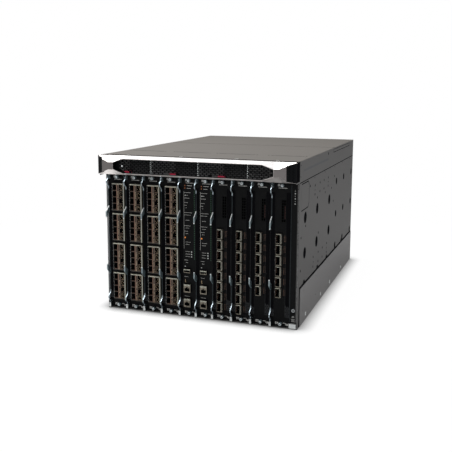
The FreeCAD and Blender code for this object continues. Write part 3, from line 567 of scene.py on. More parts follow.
def makeWall(b, s, side):
    # one side wall with its holes, and thin dark skins of painted shade for what is pressed or cut into it, a
    # dark ring of painted shade round each large hole and a painted highlight strip inside its front edge
    inner, outer = side * s["wallIn"], side * s["wallOut"]
    line, thin = [sorted((outer, outer + side * rise)) for rise in (0.05, 0.04)]
    large = [(radius, y, z) for radius, ys, zs in (s["frontHoles"], s["rearHoles"]) for y in ys for z in zs]
    holes = [ring(y, z, radius, 28) for radius, y, z in large]
    radius, ys, zs = s["bracketHoles"]
    holes += [ring(y, z, radius, 20) for y in ys for z in zs]
    small = [ring(y, z, s["smallHole"], 12) for y, z in smallHoles]
    y0, y1, z, tall = s["groove"]
    half = tall / 2
    slot = [(y0 + half, z - half), (y1 - half, z - half), (y1, z), (y1 - half, z + half),
            (y0 + half, z + half), (y0, z)]
    outline = [(0, 0), (s["rear"], 0), (s["rear"], s["wallTop"]), (s["ear"], s["wallTop"]),
               (s["ear"], s["shelfTop"]), (0, s["shelfTop"])]
    b.plate("case", "x", (inner, outer), outline, holes + small + [slot])
    floorX = side * (s["wallOut"] - s["grooveDepth"])
    # the dark dot sits at the groove's end on the left wall and above it on the right
    dotZ = s["dotZ"][side]
    b.box("cavity", sorted((inner, floorX)), (y0 - 2, y1 + 2), span(dotZ, tall))
    b.plate("coverLine", "x", sorted((floorX, outer + side * 0.03)), slot)
    b.plate("cavity", "x", sorted((outer, outer + side * 0.035)), ring(y1 - tall, dotZ, s["dotRadius"], 16))
    y0, y1, z0, z1 = s["pad"]
    cut = s["padCut"]
    pad = [(y0, z0), (y1 - cut, z0), (y1, z0 + cut), (y1, z1 - cut), (y1 - cut, z1), (y0, z1)]
    b.plate("case", "x", (outer, outer + side * s["padRise"]), pad)
    w = s["padLine"]
    near, far = y1 - cut + w / 2, y1 + w
    rim = [(y0, z0 - w), (near, z0 - w), (far, z0 + cut - w / 2), (far, z1 - cut + w / 2), (near, z1 + w),
           (y0, z1 + w)]
    b.plate("cavity", "x", (outer, outer + side * 0.04), rim)
    for (radius, y, z), hole in zip(large, holes):
        b.plate("punched", "x", (outer, outer + side * 0.05), ring(y, z, radius + 0.9, 28), [hole])
        b.plate("cavity", "x", sorted((outer - side * 0.1, inner)), hole)
    for hole in small:
        b.plate("cavity", "x", sorted((outer + side * 0.03, inner)), hole)
    for y in s["halfHoles"]:
        b.plate("cavity", "x", thin, ring(y, s["halfHoleZ"], s["halfHole"], 20))
    y0, y1, z0, z1 = s["recess"]
    low, high, end = s["recessLines"]
    for zs in ((z0, z0 + low), (z1 - high, z1)):
        b.box("cavity", thin, (y0, y1), zs)
    for y in (y0, y1 - end):
        b.box("cavity", thin, (y, y + end), (z0, z1))
    top = (s["wallTop"] - s["sheet"], s["wallTop"])
    b.box("case", sorted((inner, inner - side * s["flange"])), (0, s["rear"]), top)
    for kind, rise, rear in (("zinc", 0.15, 40), ("edge", 0.3, 4.8)):
        b.box(kind, sorted((inner, inner - side * rise)), (0.2, rear), (2, s["shelf"]))
    low, high = s["seam"]
    b.box("cavity", line, (0.5, s["rear"] - 0.5), (s["shelf"] - low, s["shelf"] + high))
    ys, drop, radius = s["seamPins"]
    for y in ys:
        b.rod("cavity", "x", (y, s["shelf"] - drop), radius, line, 12)
    y, zs, radius = s["earPins"]
    for z in zs:
        b.rod("cavity", "x", (y, z), radius, line, 12)


def makeColumn(b, s):
    # status column on the right of the modules: lock, lamps and plain marks, with painted shade in the gap at
    # its left and in its row of pin holes
    x0, x1 = s["column"]
    middle = (x0 + x1) / 2
    front, floor, shelf = s["columnFront"], s["floor"], s["shelf"]
    b.plate("faceplate", "y", (front, front + s["sheet"]), rect(x0, x1, floor, shelf),
            [ring(middle, s["lockZ"], 3.0, 20)])
    b.box("cavity", (x0, x0 + 1.2), (front, s["boardRear"]), (floor, shelf))
    b.box("arm", (x0 + 0.4, x0 + 1.2), (front - 0.3, front), (floor + 12, shelf - 4))
    for rise, rear, outside, inside in ((0.5, 15, 2.9, 2.1), (0.6, 0, 3.6, 2.3)):
        b.plate("steel", "y", (front - rise, front + rear), ring(middle, s["lockZ"], outside, 20),
                [ring(middle, s["lockZ"], inside, 16)])
    for z in s["lampZs"]:
        b.tile("lens", "y", (middle, z), (1.2, 1.2), (front - 0.4, front), 0.3)
        b.box("print", span(middle, 0.6), (front - 0.1, front), (z + 4.6, z + 5.8))
    for z, half in s["columnMarks"]:
        b.tile("print", "y", (middle, z), (half, 0.4), (front - 0.1, front))
    b.box("edge", (x0 - 1, x1 - 0.5), (front - 3.0, front - 0.1), (0.4, 12.0), 1.2, 3)
    b.box("case", (x1 - 3.4, x1 + 0.1), (front - 0.6, front), (14.0, 303.0), 0.2)
    for z in s["columnPins"]:
        b.rod("cavity", "y", (x1 - 1.7, z), 0.9, (front - 0.65, front - 0.6), 10)


def makeCase(s):
    b = Builder("caseShell", "case")
    for side in (-1, 1):
        makeWall(b, s, side)
    x0, x1 = -s["wallIn"], s["wallIn"]
    for zs in ((0, s["floor"]), (s["shelf"], s["shelfTop"])):
        b.box("case", (x0, x1), (0, s["rear"]), zs, 0.3)
    slot = s["railSlot"]
    lowSlot, highSlot = s["railSlots"]
    lowEdge, highEdge = s["railEdges"]
    for zs in ((s["floor"], lowSlot - slot), (lowSlot + slot, lowEdge), (highEdge, highSlot - slot),
               (highSlot + slot, s["shelf"])):
        b.box("zinc", (x0, s["column"][0]), s["rails"], zs)
    makeColumn(b, s)
    for number in range(1, 4):
        x = x0 + number * s["wallIn"] / 2
        b.box("zinc", span(x, 0.5), s["supply"], (s["shelfTop"], s["wallTop"]))
        # faintly glowing dots on the dividers' springs: painted glints
        for z in s["springZs"]:
            b.tile("lens", "y", (x, z), (1.2, 0.9), (1.0, 4.0), 0.3)
    back = rect(x0, x1, s["shelfTop"], s["wallTop"] - s["sheet"])
    b.plate("case", "y", (s["rear"] - s["sheet"], s["rear"]), back,
            [around(x, s["inletZ"], *s["inletHalf"]) for x in s["inlets"]])
    near, far = s["guide"]
    for x in leverXs:
        middle = x + s["guideX"]
        for zs in s["guideZs"]:
            for sign in (-1, 1):
                xs = sorted((middle + sign * near, middle + sign * far))
                b.box("faceplate", xs, (20, s["boardRear"]), zs)
    b.done("case", "case_paint", "chassis_shell")


makeCase(caseSettings)

coverSettings = {
    "half": 219.4, "low": 348.8, "high": 350.0, "panels": ((-8.0, 353.4), (357.0, 646.0)),
    "lances": ((-205.0, -125.0), (-95.0, -15.0), (10.0, 95.0), (130.0, 205.0)), "lanceYs": (97.0, 103.0),
    "lanceRim": (1.5, 1.0), "lanceEnd": (4, 1.6), "rivetXs": (-150, -40, 70, 160), "rivetYs": (40, 60),
    "clips": (-165.0, -40.0, 85.0, 172.0), "clipHalf": 4.0, "clipYs": (-1.0, 5.0)}


def makeCover(s):
    b = Builder("topCover", "cover")
    y0, y1 = s["lanceYs"]
    for front, rear in s["panels"]:
        holes = [rect(x0, x1, y0, y1) for x0, x1 in s["lances"]] if front < 0 else []
        rivetYs = (front + s["rivetYs"][0], rear - s["rivetYs"][1])
        holes += [ring(x, y, 1.0, 10) for x in s["rivetXs"] for y in rivetYs]
        b.plate("cover", "z", (s["low"], s["high"]), rect(-s["half"], s["half"], front, rear), holes)
    rimX, rimY = s["lanceRim"]
    off, half = s["lanceEnd"]
    # dark floors under the lances and at their ends: painted shade
    for x0, x1 in s["lances"]:
        b.box("coverLine", (x0 - rimX, x1 + rimX), (y0 - rimY, y1 + rimY), (348.9, 349.6))
        for x in (x0 - off, x1 + off):
            b.box("cavity", span(x, half), (y0, y1), (349.9, s["high"]))
    # glowing white clips at the cover's front: painted highlights
    for x in s["clips"]:
        b.box("white", span(x, s["clipHalf"]), s["clipYs"], (349.7, s["high"]), 0.2)
    # dark lines along the panels' seam and the front edge: painted shade
    b.box("cavity", span(0, s["half"] - 1), (352.0, 358.5), (348.9, 349.1))
    b.box("cavity", span(0, s["half"] - 4), (-8.6, -7.9), (s["low"], s["high"]))
    b.done("case", "cover_paint", "top_cover")


makeCover(coverSettings)

panelSettings = {
    "inner": 219.4, "outer": 220.4, "rear": 646.0, "front": 18.0, "top": 82.0, "border": (7.0, 4.8),
    "screwYs": (70.0, 225.0, 335.0, 490.0), "screwZ": 13.0, "screwRadius": 4.4,
    "holeYs": (45.0, 170.0, 328.0, 490.0), "holeZs": (27.0, 72.0), "holeRadius": 1.5}


def makePanels(s):
    b = Builder("sidePanels", "panel")
    holes = [ring(y, z, s["holeRadius"], 12) for y in s["holeYs"] for z in s["holeZs"]]
    front, top = s["border"]
    z = s["screwZ"]
    for side in (-1, 1):
        inner, outer = side * s["inner"], side * s["outer"]
        b.plate("panel", "x", (inner, outer), rect(s["front"], s["rear"], 0, s["top"]), holes)
        # a dark skin along the panel's top and front edges: painted shade
        xs = sorted((inner, inner + side * 0.05))
        b.box("cavity", xs, (s["front"] - front, s["rear"]), (0, s["top"] + top))
        # screw heads in the lit edge look, with painted shade in their slots
        for y in s["screwYs"]:
            b.rod("edge", "x", (y, z), s["screwRadius"], (outer, outer + side * 0.58), 18, 0.2)
            b.box("print", sorted((outer, outer + side * 0.05)), (y + 6, y + 10), (z + 2, z + 3))
            b.tile("cavity", "x", (y, z), (1.6, 0.35), sorted((outer + side * 0.5, outer + side * 0.6)))
    b.done("case", "panel_paint", "side_panels")


makePanels(panelSettings)


print("power")
supplySettings = {
    "front": 4.0, "rear": 334.0, "low": 306.0, "high": 347.2, "sheet": 1.2, "rows": 6, "columns": 8,
    "firstHole": (7, 313.5), "holePitch": (4.6, 5.0), "holeRadius": 1.8, "fanPlate": (52, 2),
    "handleMiddle": 26.0, "handleHalf": 18, "handleZs": (328, 331), "latch": (45.0, 15.0, 309.5, 5.0),
    "lamps": ("green", "orange", "green"), "lampX": 46, "lampZ": 340}


def makeSupplies(s):
    b = Builder("powerSupplies", "fan")
    front, low, high = s["front"], s["low"], s["high"]
    for number in range(4):
        left = supplyStart + number * supplyBay + supplyGap
        right = left + supplyBay - 2 * supplyGap
        x, z = s["firstHole"]
        pitchX, pitchZ = s["holePitch"]
        centres = [(left + x + column * pitchX + pitchX / 2 * (row % 2), z + row * pitchZ)
                   for row in range(s["rows"]) for column in range(s["columns"])]
        holes = [ring(*centre, s["holeRadius"], 6) for centre in centres]
        b.plate("tray", "y", (front, front + s["sheet"]), rect(left, right, low, high), holes)
        b.box("tray", (left, right), (front + 3, s["rear"]), (low, high))
        wide, inset = s["fanPlate"]
        b.box("fan", (right - wide, right - inset), (front - 0.8, front), (low + 2, high - 2), 0.4)
        middle, half = right - s["handleMiddle"], s["handleHalf"]
        b.box("fan", span(middle, half), (-10, -7), s["handleZs"], 1.0, 2)
        for x in (middle - half, middle + half - 3):
            b.box("fan", (x, x + 3), (-8, front), s["handleZs"], 0.6)
        offset, wide, z, tall = s["latch"]
        latch = left + offset
        b.box("red", (latch, latch + wide), (-6, front), (z, z + tall), 0.8, 2)
        for step in range(4):
            x = latch + 2.4 + step * 3
            b.box("red", (x, x + 1.2), (-6.0, -5), (z + 0.6, z + tall - 0.6), 0.3)
        for step, kind in enumerate(s["lamps"]):
            b.rod(kind, "y", (right - s["lampX"] + step * 4, s["lampZ"]), 1.0, (front - 1.0, front), 12)
    b.done("case", "tray_steel", "power_supplies")


inletSettings = {
    "body": (15.7, 13.2), "flange": (18, 15.5), "ys": (622, 646, 648), "back": (15, 12.5),
    "backYs": (628, 631), "hole": ((-13, -9.5), (13, -9.5), (13, 5), (9, 9.5), (-9, 9.5), (-13, 5)),
    "pins": ((-6.5, -3.0), (0, 4.5), (6.5, -3.0)), "pin": (0.9, 3), "pinYs": (630, 644)}


def makeInlets(s):
    b = Builder("powerInlets", "fan")
    z = caseSettings["inletZ"]
    start, wall, rear = s["ys"]
    for x in caseSettings["inlets"]:
        hole = [(x + across, z + up) for across, up in s["hole"]]
        b.plate("fan", "y", (start, wall), around(x, z, *s["body"]), [hole])
        b.plate("fan", "y", (wall, rear), around(x, z, *s["flange"]), [hole], 0.4)
        # painted shade inside the socket
        b.tile("cavity", "y", (x, z), s["back"], s["backYs"])
        for across, up in s["pins"]:
            b.tile("steel", "y", (x + across, z + up), s["pin"], s["pinYs"], 0.3)
    b.done("case", "inlet_black", "power_inlets")


makeSupplies(supplySettings)
makeInlets(inletSettings)


print("modules")
faceSettings = {
    "front": 5.0, "thick": 1.4, "left": -3.15, "low": 1.9, "high": 304.4, "edgeGap": 3.45, "screwX": 21.8,
    "screwZs": (8.5, 299.6), "screwRadius": 3.4, "knurl": 0.25, "lowPivot": 15.0, "highPivot": 298.6,
    "notch": 5.7, "notchHalf": 1.8, "notchTop": 303.8, "cageGap": 0.2, "board": (7.2, 9.2),
    "boardZ": (15.0, 291.0), "boardRear": 422.0,
    # vents of the uplink modules: first hole, pitches and size, a dark sheet of painted shade behind them and
    # the red board behind some
    "vent": (20.0, 223.5), "ventPitch": (4.4, 5.8), "ventSize": (3.6, 4.8), "ventRows": 8,
    "ventColumns": 3, "ventBack": ((18.5, 34.5), (222, 271)), "ember": ((25.6, 27.2), (230, 256))}
pitches = {"line": 42.9, "management": 38.0, "uplink": 42.9}
punchedSettings = {
    "left": (-3.0, 6.2), "right": (29.6, 39.2), "low": 22.5, "high": 285, "top": 283, "rows": 66,
    "pitch": 3.9, "first": (1.9, 25.5), "radius": 1.5}
cageSettings = {
    "width": 29.5, "tall": 61.5, "front": -1.0, "rear": 50.0, "columns": (2.0, 17.6), "port": 8.9,
    "pitch": 14.25, "wall": 0.55, "edge": 2.25, "first": 52.2, "step": 67.4, "strip": 1.7, "rows": 4,
    "back": 45, "skin": 0.3}
largeSettings = {
    "width": 13.0, "tall": 20.6, "pitch": 22.86, "top": 189.0, "opening": 8.6, "openingTall": 18.2,
    "inset": 1.0, "corner": 1.6, "ports": {"uplink_module_1": 8, "uplink_module_2": 8}}
rjSettings = {
    "size": (15.4, 18.4), "opening": (11.8, 9.6), "lift": -1.6, "notch": True, "zs": (30.5, 63.0),
    "cut": (15.6, 9.4)}
usbSettings = {
    "size": (15.0, 8.4), "opening": (13.0, 5.4), "lift": 0.0, "notch": False, "zs": (102.0,),
    "cut": (15.2, 4.4)}
cageLeft = 9.2


def buildPunched(s, face, x0, x1):
    # strip of small staggered holes beside the lever
    b = Builder("punchedStrip", "punched")
    pitch = s["pitch"]
    firstX, firstZ = s["first"]
    centres = [(x0 + firstX + column * pitch + pitch / 2 * (row % 2), firstZ + row * pitch)
               for row in range(s["rows"]) for column in range(int((x1 - x0 - 1.0) / pitch))]
    b.plate("punched", "y", (face - 0.35, face - 0.05), rect(x0, x1, s["low"], s["high"]),
            [ring(x, z, s["radius"], 6) for x, z in centres if z < s["top"]])
    # painted shade behind the holes
    b.box("cavity", (x0, x1), (face - 0.08, face - 0.02), (s["low"] + 0.1, s["high"] - 0.1))
    return b


def buildScrew(s):
    b = Builder("captiveScrew", "screw")
    sides = 36
    rims = [ring(0, 0, s["screwRadius"] - s["knurl"] * odd, sides, 0) for odd in (0, 1)]
    b.plate("blade", "y", (-3.0, 3.6), [rims[i % 2][i] for i in range(sides)])
    # near-white head: painted highlight; dark cross: painted shade in its slots
    b.rod("screw", "y", (0, 0), 2.7, (screwFront, -3.0), 24, 0.5)
    b.rod("steel", "y", (0, 0), 2.4, (3.4, 5.0), 20)
    for halves in ((2.0, 0.4), (0.4, 2.0)):
        b.tile("cavity", "y", (0, 0), halves, (screwFront - 0.02, screwFront + 0.4))
    return b


def buildLineCage(s):
    b = Builder("lineCage", "cage")
    half, front, wide, wall, skin = s["tall"] / 2, s["front"], s["width"], s["wall"], s["skin"]
    rowZs = [-half + s["edge"] + row * s["pitch"] for row in range(s["rows"])]
    holes = [rect(x, x + s["port"], z + wall, z + s["pitch"] - wall) for x in s["columns"] for z in rowZs]
    b.plate("dark", "y", (front, front + 0.6), rect(s["strip"], wide, -half, half), holes)
    # painted shade: a dark strip beside the ports and dark linings inside them
    b.box("cavity", (0, s["strip"]), (front, front + 0.6), (-half, half))
    inside = rect(skin, wide - skin, -half + skin, half - skin)
    b.plate("cavity", "y", (front + 0.6, s["back"]), inside, holes)
    b.box("cavity", (skin, wide - skin), (s["back"], s["rear"]), (-half + skin, half - skin))
    b.box("cage", (0, wide), (front + 0.6, 20), (half - skin, half))
    b.box("cage", (wide - skin, wide), (front + 0.6, 20), (-half, half))
    # raised rim along the top and the right
    b.box("rim", (0.2, wide), (front - 0.8, front), (half - 2.2, half), 0.3)
    b.box("rim", (wide - 2.1, wide + 0.5), (front - 0.8, front), (-half, half), 0.3)
    # centre strips with a row of contact springs between them
    left = s["columns"][0] + s["port"] + 0.2
    right = s["columns"][1] - 0.2
    for x0, x1 in ((left, left + 2.4), (right - 1.0, right)):
        b.box("copper", (x0, x1), (front - 0.7, front), (-half + 1.6, half - 1.8), 0.25)
    springs = random.Random(3)
    for step in range(19):
        z = -half + 2.2 + step * 3.1
        near = left + 2.6 + springs.uniform(0, 0.9)
        if springs.random() < 0.75:
            b.box("gold", (near, near + 1.7), (front - 0.9, front), (z, z + 1.7), 0.25)
    for z in rowZs:
        for step in range(4):
            low = z + 1.5 + step * 3.0
            for column in range(3):
                near = s["columns"][1] + 0.4 + column * 2.8 + 0.6 * (step % 2)
                if springs.random() < 0.62:
                    b.box("gold", (near, near + 1.4), (-0.4, 1.0), (low, low + 1.4), 0.3)
        for x in s["columns"]:
            for step in range(3):
                near = x + 1.2 + step * 2.5
                b.box("copper", (near, near + 1.2), (front - 0.5, 3.0), (z + wall, z + wall + 0.4))
    # contact dots beside the cage, glowing faintly: painted glints
    for step in range(18):
        z = -half + 1.2 + step * 3.45
        b.box("lens", (0.2, 1.1), (front - 0.2, front), (z, z + 1.2), 0.1)
    return b


def buildLargeCage(s):
    b = Builder("largeCage", "cage")
    half, wide, corner, tall = s["tall"] / 2, s["width"], s["corner"], s["openingTall"] / 2
    x0 = s["inset"]
    x1 = x0 + s["opening"]
    holes = [rect(x0, x1, -tall, tall)]
    outline = [(0, -half + corner), (corner, -half), (wide - corner, -half), (wide, -half + corner),
               (wide, half - corner), (wide - corner, half), (corner, half), (0, half - corner)]
    b.plate("cage", "y", (-1.0, -0.4), outline, holes, 0.1)
    b.box("dark", (0.05, x0 - 0.1), (-1.2, -1.0), (-half + corner, half - corner))
    # dark lining inside the port: painted shade
    b.plate("cavity", "y", (-0.4, 66), rect(0.2, wide - 0.2, -half + 0.2, half - 0.2), holes)
    b.box("cavity", (0.2, wide - 0.2), (66, 68), (-half + 0.2, half - 0.2))
    b.box("cage", (0, wide), (-0.4, 18), (half - 0.25, half))
    b.box("cage", (wide - 0.25, wide), (-0.4, 18), (-half, half))
    b.box("rim", (1.2, wide - 2), (-1.8, -1.0), (half - 1.5, half), 0.3)
    b.box("rim", (x1 + 0.2, x1 + 1.3), (-1.8, -1.0), (-half + 1, half), 0.3)
    for step in range(9):
        z = -half + 0.6 + step * 2.2
        b.box("lip", (x1 + 1.7, wide - 0.1), (-1.7, -1.0), (z, z + 1.3), 0.3)
    for z in (-5, -1, 3):
        b.box("copper", (x0, x0 + 0.5), (1, 9), (z, z + 2))
    b.box("lens", (-2.4, -1.2), (4.6, 5.0), (-0.7, 0.7), 0.2)
    for column in range(2):
        for step in range(5):
            z = -6 + step * 2.8
            x = wide + 3.6 + column * 3.2
            b.box("copper", (x, x + 1.0), (4.85, 5.0), (z, z + 1.2))
    b.box("cavity", (wide + 3.4, wide + 6.2), (4.9, 5.0), (-half, -half + 2))
    return b


def buildJack(s):
    b = Builder("jackCase", "cage")
    wide, half = s["size"][0], s["size"][1] / 2
    halfX, halfZ = s["opening"][0] / 2, s["opening"][1] / 2
    middle = wide / 2
    z = s["lift"]
    hole = around(middle, z, halfX, halfZ)
    if s["notch"]:
        shoulder = z + halfZ - 2.2
        hole[2:] = [(middle + halfX, shoulder), (middle + 2, shoulder), (middle + 2, z + halfZ),
                    (middle - 2, z + halfZ), (middle - 2, shoulder), (middle - halfX, shoulder)]
    b.plate("cage", "y", (-1.0, -0.4), rect(0, wide, -half, half), [hole], 0.1)
    b.box("rim", (0.2, wide - 0.2), (-1.4, -1.0), (half - 2.4, half - 0.2), 0.1)
    # dark lining inside the jack: painted shade
    b.plate("cavity", "y", (-0.4, 16), rect(0.2, wide - 0.2, -half + 0.2, half - 0.2), [hole])
    b.box("cage", (0.1, wide - 0.1), (16, 22), (-half + 0.1, half - 0.1))
    if s["notch"]:
        for step in range(8):
            x = middle - 3.6 + step
            b.box("finger", (x, x + 0.4), (6, 12), (z + halfZ - 4.4, z + halfZ - 3.9))
        for x in (1.6, wide - 4.2):
            b.box("tag", (x, x + 2.6), (-1.1, -1.0), (half - 3.4, half - 1.8), 0.05)
    else:
        b.box("cavity", (2.2, wide - 2.2), (0, 12), (-0.9, 0.9))
    return b


def stripOutline(path, half):
    # both sides of a bent strip, mitred at its bends
    sides = ([], [])
    for index, (reach, tall) in enumerate(path):
        steps = []
        for other, sign in ((index - 1, 1), (index + 1, -1)):
            if 0 <= other < len(path):
                step = (Vector((reach, tall)) - Vector(path[other])) * sign
                steps.append(step.normalized())
        mean = sum(steps, Vector((0, 0))).normalized()
        stretch = half / mean.dot(steps[0])
        sides[0].append((reach - mean.y * stretch, tall + mean.x * stretch))
        sides[1].append((reach + mean.y * stretch, tall - mean.x * stretch))
    return sides[0] + sides[1][::-1]


leverSettings = {
    "bend": [(0, 0), (9.5, 8), (9.5, 13), (0, 21), (0, 27)], "arm": [(0, 25), (0, 69)], "strip": 1.7,
    "width": 1.9, "armWidth": 1.4, "bladeWidth": 1.6, "hub": 3.6, "tooth": 5.3, "toothHalf": 1.6,
    "pivotY": 1.5, "bendsPast": 6,
    "blade": [(-1.3, 64), (1.0, 65), (12.6, 75), (12.6, 88), (1.0, 79), (-1.3, 77)],
    "bladeEdge": [(11.8, 74.6), (13.4, 75.6), (13.4, 88.8), (11.8, 87.6)],
    "tip": [(11.6, 86.4), (13.6, 87.0), (13.6, 89.4), (11.6, 88.2)],
    "slant": [(0.8, 64.0), (12.8, 74.2), (12.8, 75.6), (0.8, 65.2)]}


def buildLever(s, up):
    # bent strip on the pin, a slim arm, and a blade-shaped finger tab
    b = Builder("lever", "zinc")
    half, blade, pivotY = s["strip"] / 2, s["bladeWidth"], s["pivotY"]
    # the lip, the tip and the upper lever's slant are lighter copies of the blade: painted highlights
    parts = (("zinc", s["width"], stripOutline(s["bend"], half), 2.6),
             ("arm", s["armWidth"], stripOutline(s["arm"], half), 0.2), ("blade", blade, s["blade"], 0.4),
             ("lip", blade + 1.2, s["bladeEdge"], 0.2), ("edge", blade + 0.8, s["tip"], 0.2),
             ("blade" if up > 0 else "edge", blade + 0.2, s["slant"], 0.1))
    for kind, width, outline, softness in parts:
        known = set(b.bm.verts)
        b.plate(kind, "x", span(0, width / 2), [(pivotY - r, up * z) for r, z in outline])
        made = [vert for vert in b.bm.verts if vert not in known]
        long = {e for v in made for e in v.link_edges if abs((e.verts[0].co - e.verts[1].co).x) > width * 0.9}
        bends = [e for e in long if s["bendsPast"] < abs(e.verts[0].co.z)]
        bmesh.ops.bevel(b.bm, geom=bends, offset=softness, segments=4, profile=0.5, affect="EDGES",
                        clamp_overlap=True, material=-1)
    across = span(0, s["width"] / 2)
    b.rod("zinc", "x", (pivotY, 0), s["hub"], across, 24, 0.2)
    b.box("zinc", across, span(pivotY, s["toothHalf"]), sorted((0, -up * s["tooth"])), 0.3)
    return b


def addBrackets(b, s):
    ends = (("arm", s["lowPivot"], s["low"], 19.8), ("blade", s["highPivot"], 293.8, 303.4))
    for kind, pivot, low, high in ends:
        for xs in ((-3.0, -1.8), (1.8, 3.2)):
            b.box(kind, xs, (-3.3, s["front"]), (low, high), 0.5, 2)
        b.rod("steel", "x", (1.5, pivot), 1.15, (-3.05, 4.05), 16, 0.15)
    b.box("edge", (-2.8, 3.0), (-3.6, s["front"]), (s["low"], 9.8), 0.6, 2)
    b.box("edge", (-2.6, 2.6), (-3.7, -2.4), (9.0, 12.4), 0.4, 2)


# plain marks beside the screws and jacks, with no lettering: look, x span, depths, z span, softness
ink, raised, proud, dent = (4.92, 5.0), (4.7, 5.0), (4.8, 5.0), (4.65, 4.75)
screwMarks = [("print", (12.5, 31), ink, (293.2, 294.2)), ("tag", (11.2, 15.6), raised, (297.4, 301.8), 0.1)]
screwMarks += [("cavity", (12.0, 14.8), dent, (z, z + 0.8)) for z in (298.3, 300.0)]
for x in (9.6, 13.4):
    screwMarks += [("tag", (x, x + 3.0), raised, (5.8, 11.0), 0.1),
                   ("cavity", (x + 0.7, x + 2.3), dent, (7.2, 8.2))]
screwMarks += [("print", (26.0, 31), ink, (8.8, 10.2)), ("print", (31.6, 33), ink, (5.2, 9.6)),
               ("tag", (33.8, 37.6), ink, (4.6, 8.4))]
jackMarks = [("tag", (7.9, 8.3), ink, (150, 276)), ("amber", (9.4, 11.6), proud, (286.6, 288.8), 0.05),
             ("amber", (9.4, 11.6), proud, (281.4, 283.6), 0.05), ("print", (15, 27), ink, (287.6, 288.5)),
             ("print", (15, 24), ink, (281.7, 282.6))]
# height and x span of each row of dashes on the management modules
dashRows = ((273, 9, 24), (267, 12, 18), (261, 9, 21), (251.4, 9, 18), (245.3, 9, 15), (240, 12, 15),
            (229.5, 9, 27), (224.4, 9, 24), (213, 12, 21), (200.8, 9, 24), (195.7, 12, 21), (188.7, 9, 18),
            (183.6, 12, 18), (165, 12, 24), (160, 12, 21), (125, 9, 19), (119.5, 12, 18), (88, 9, 18),
            (44, 9, 21))


def addMarks(b, kind):
    for mark in screwMarks:
        b.box(*mark)
    b.rod("cavity", "y", (34.5, 299.6), 1.0, (4.9, 5.0), 10)
    if kind != "management":
        return
    for z, x0, x1 in dashRows:
        for step in range(int((x1 - x0) / 3)):
            b.box("print", (x0 + step * 3, x0 + step * 3 + 2.3), ink, span(z, 0.4))
    for mark in jackMarks:
        b.box(*mark)
    for spot in ((11.5, 267), (10.5, 111)):
        b.rod("lens", "y", spot, 1.3, (4.5, 5.0), 14, 0.2)
    b.box("orange", (9.4, 12.6), (4.6, 5.0), (173.4, 176.6), 0.4)
    for z in (144, 138.5, 133):
        b.box("lens", (24.0, 27.0), (4.6, 5.0), span(z, 1.3), 0.3)
        for step in range(4):
            b.box("print", (12 + step * 2.6, 13.2 + step * 2.6), ink, span(z, 0.6))
    for step in range(38):
        z = 128 + step * 4
        b.box("green", (31.4, 32.8), proud, (z, z + 2.2))
    b.box("gold", (10.4, 11.2), ink, (76, 82))
    b.box("gold", (10.4, 12.6), ink, (75.4, 76.2))


def addBoard(b, s):
    x0, x1 = s["board"]
    b.box("board", (x0, x1), (s["front"] + s["thick"], s["boardRear"]), s["boardZ"], 0.2)
    b.box("zinc", (x1, x1 + 4), (180, 280), (110, 200))
    for step in range(12):
        z = 110 + step * 8.05
        b.box("zinc", (x1 + 4, x1 + 20), (180, 280), (z, z + 1.4))
    b.box("fan", (x1, x1 + 18), (398, s["boardRear"]), (25, 281), 0.6)
    # dark slots in the rear connector: painted shade
    for step in range(22):
        z = 29 + step * 11.4
        b.box("cavity", (x1 + 3, x1 + 15), (421.9, s["boardRear"]), (z, z + 8))
    chips = random.Random(5)
    for step in range(26):
        y = chips.uniform(85, 380)
        z = chips.choice((30, 48, 66, 84, 215, 232, 250, 268)) + chips.uniform(-3, 3)
        wide = chips.uniform(4, 14)
        b.box("fan", (x1, x1 + chips.uniform(1, 2.4)), (y, y + wide), (z, z + wide * 0.8), 0.2)


punchedLeft, punchedRight = [buildPunched(punchedSettings, faceSettings["front"], *punchedSettings[side])
                             for side in ("left", "right")]
screwBuilder = buildScrew(faceSettings)
lineBuilder = buildLineCage(cageSettings)
largeBuilder = buildLargeCage(largeSettings)
jackBuilders = [(buildJack(s), s) for s in (rjSettings, usbSettings)]


def addCages(b, kind, ports, s):
    # the cages of one module; returns the faceplate's holes for them
    holes = []
    gap, front = s["cageGap"], s["front"]
    depths = (front, front + s["thick"])
    if kind == "line":
        c = cageSettings
        for n in range(4):
            z = c["first"] + n * c["step"]
            holes.append(rect(cageLeft - gap, cageLeft + c["width"] + gap, z - c["tall"] / 2 - gap,
                              z + c["tall"] / 2 + gap))
            b.add(lineBuilder, (cageLeft, 0, z))
    elif kind == "uplink":
        c = largeSettings
        half = c["tall"] / 2
        zs = [c["top"] - n * c["pitch"] for n in range(ports)]
        for n, z in enumerate(zs):
            b.add(largeBuilder, (cageLeft, 0, z))
            if n:
                b.box("faceplate", (cageLeft - 0.1, cageLeft + c["width"] + 0.1), depths,
                      (z + half + 0.1, z + c["pitch"] - half - 0.1))
        holes.append(rect(cageLeft - gap, cageLeft + c["width"] + gap, zs[-1] - half - gap,
                          c["top"] + half + gap))
        # dark sheet behind the vents: painted shade
        xs, zs = s["ventBack"]
        b.box("void", xs, (front + 2.5, front + 3), zs)
        if ports == 6:
            xs, zs = s["ember"]
            b.box("ember", xs, (front + 2.2, front + 2.5), zs)
        (x, z), (pitchX, pitchZ), (wide, tall) = s["vent"], s["ventPitch"], s["ventSize"]
        for row in range(s["ventRows"]):
            for column in range(s["ventColumns"]):
                left, low = x + column * pitchX, z + row * pitchZ
                holes.append(rect(left, left + wide, low, low + tall))
    else:
        for jack, c in jackBuilders:
            wide, half = c["cut"]
            for z in c["zs"]:
                b.add(jack, (cageLeft, 0, z))
                holes.append(rect(cageLeft - gap, cageLeft + wide, z - half, z + half))
    return holes


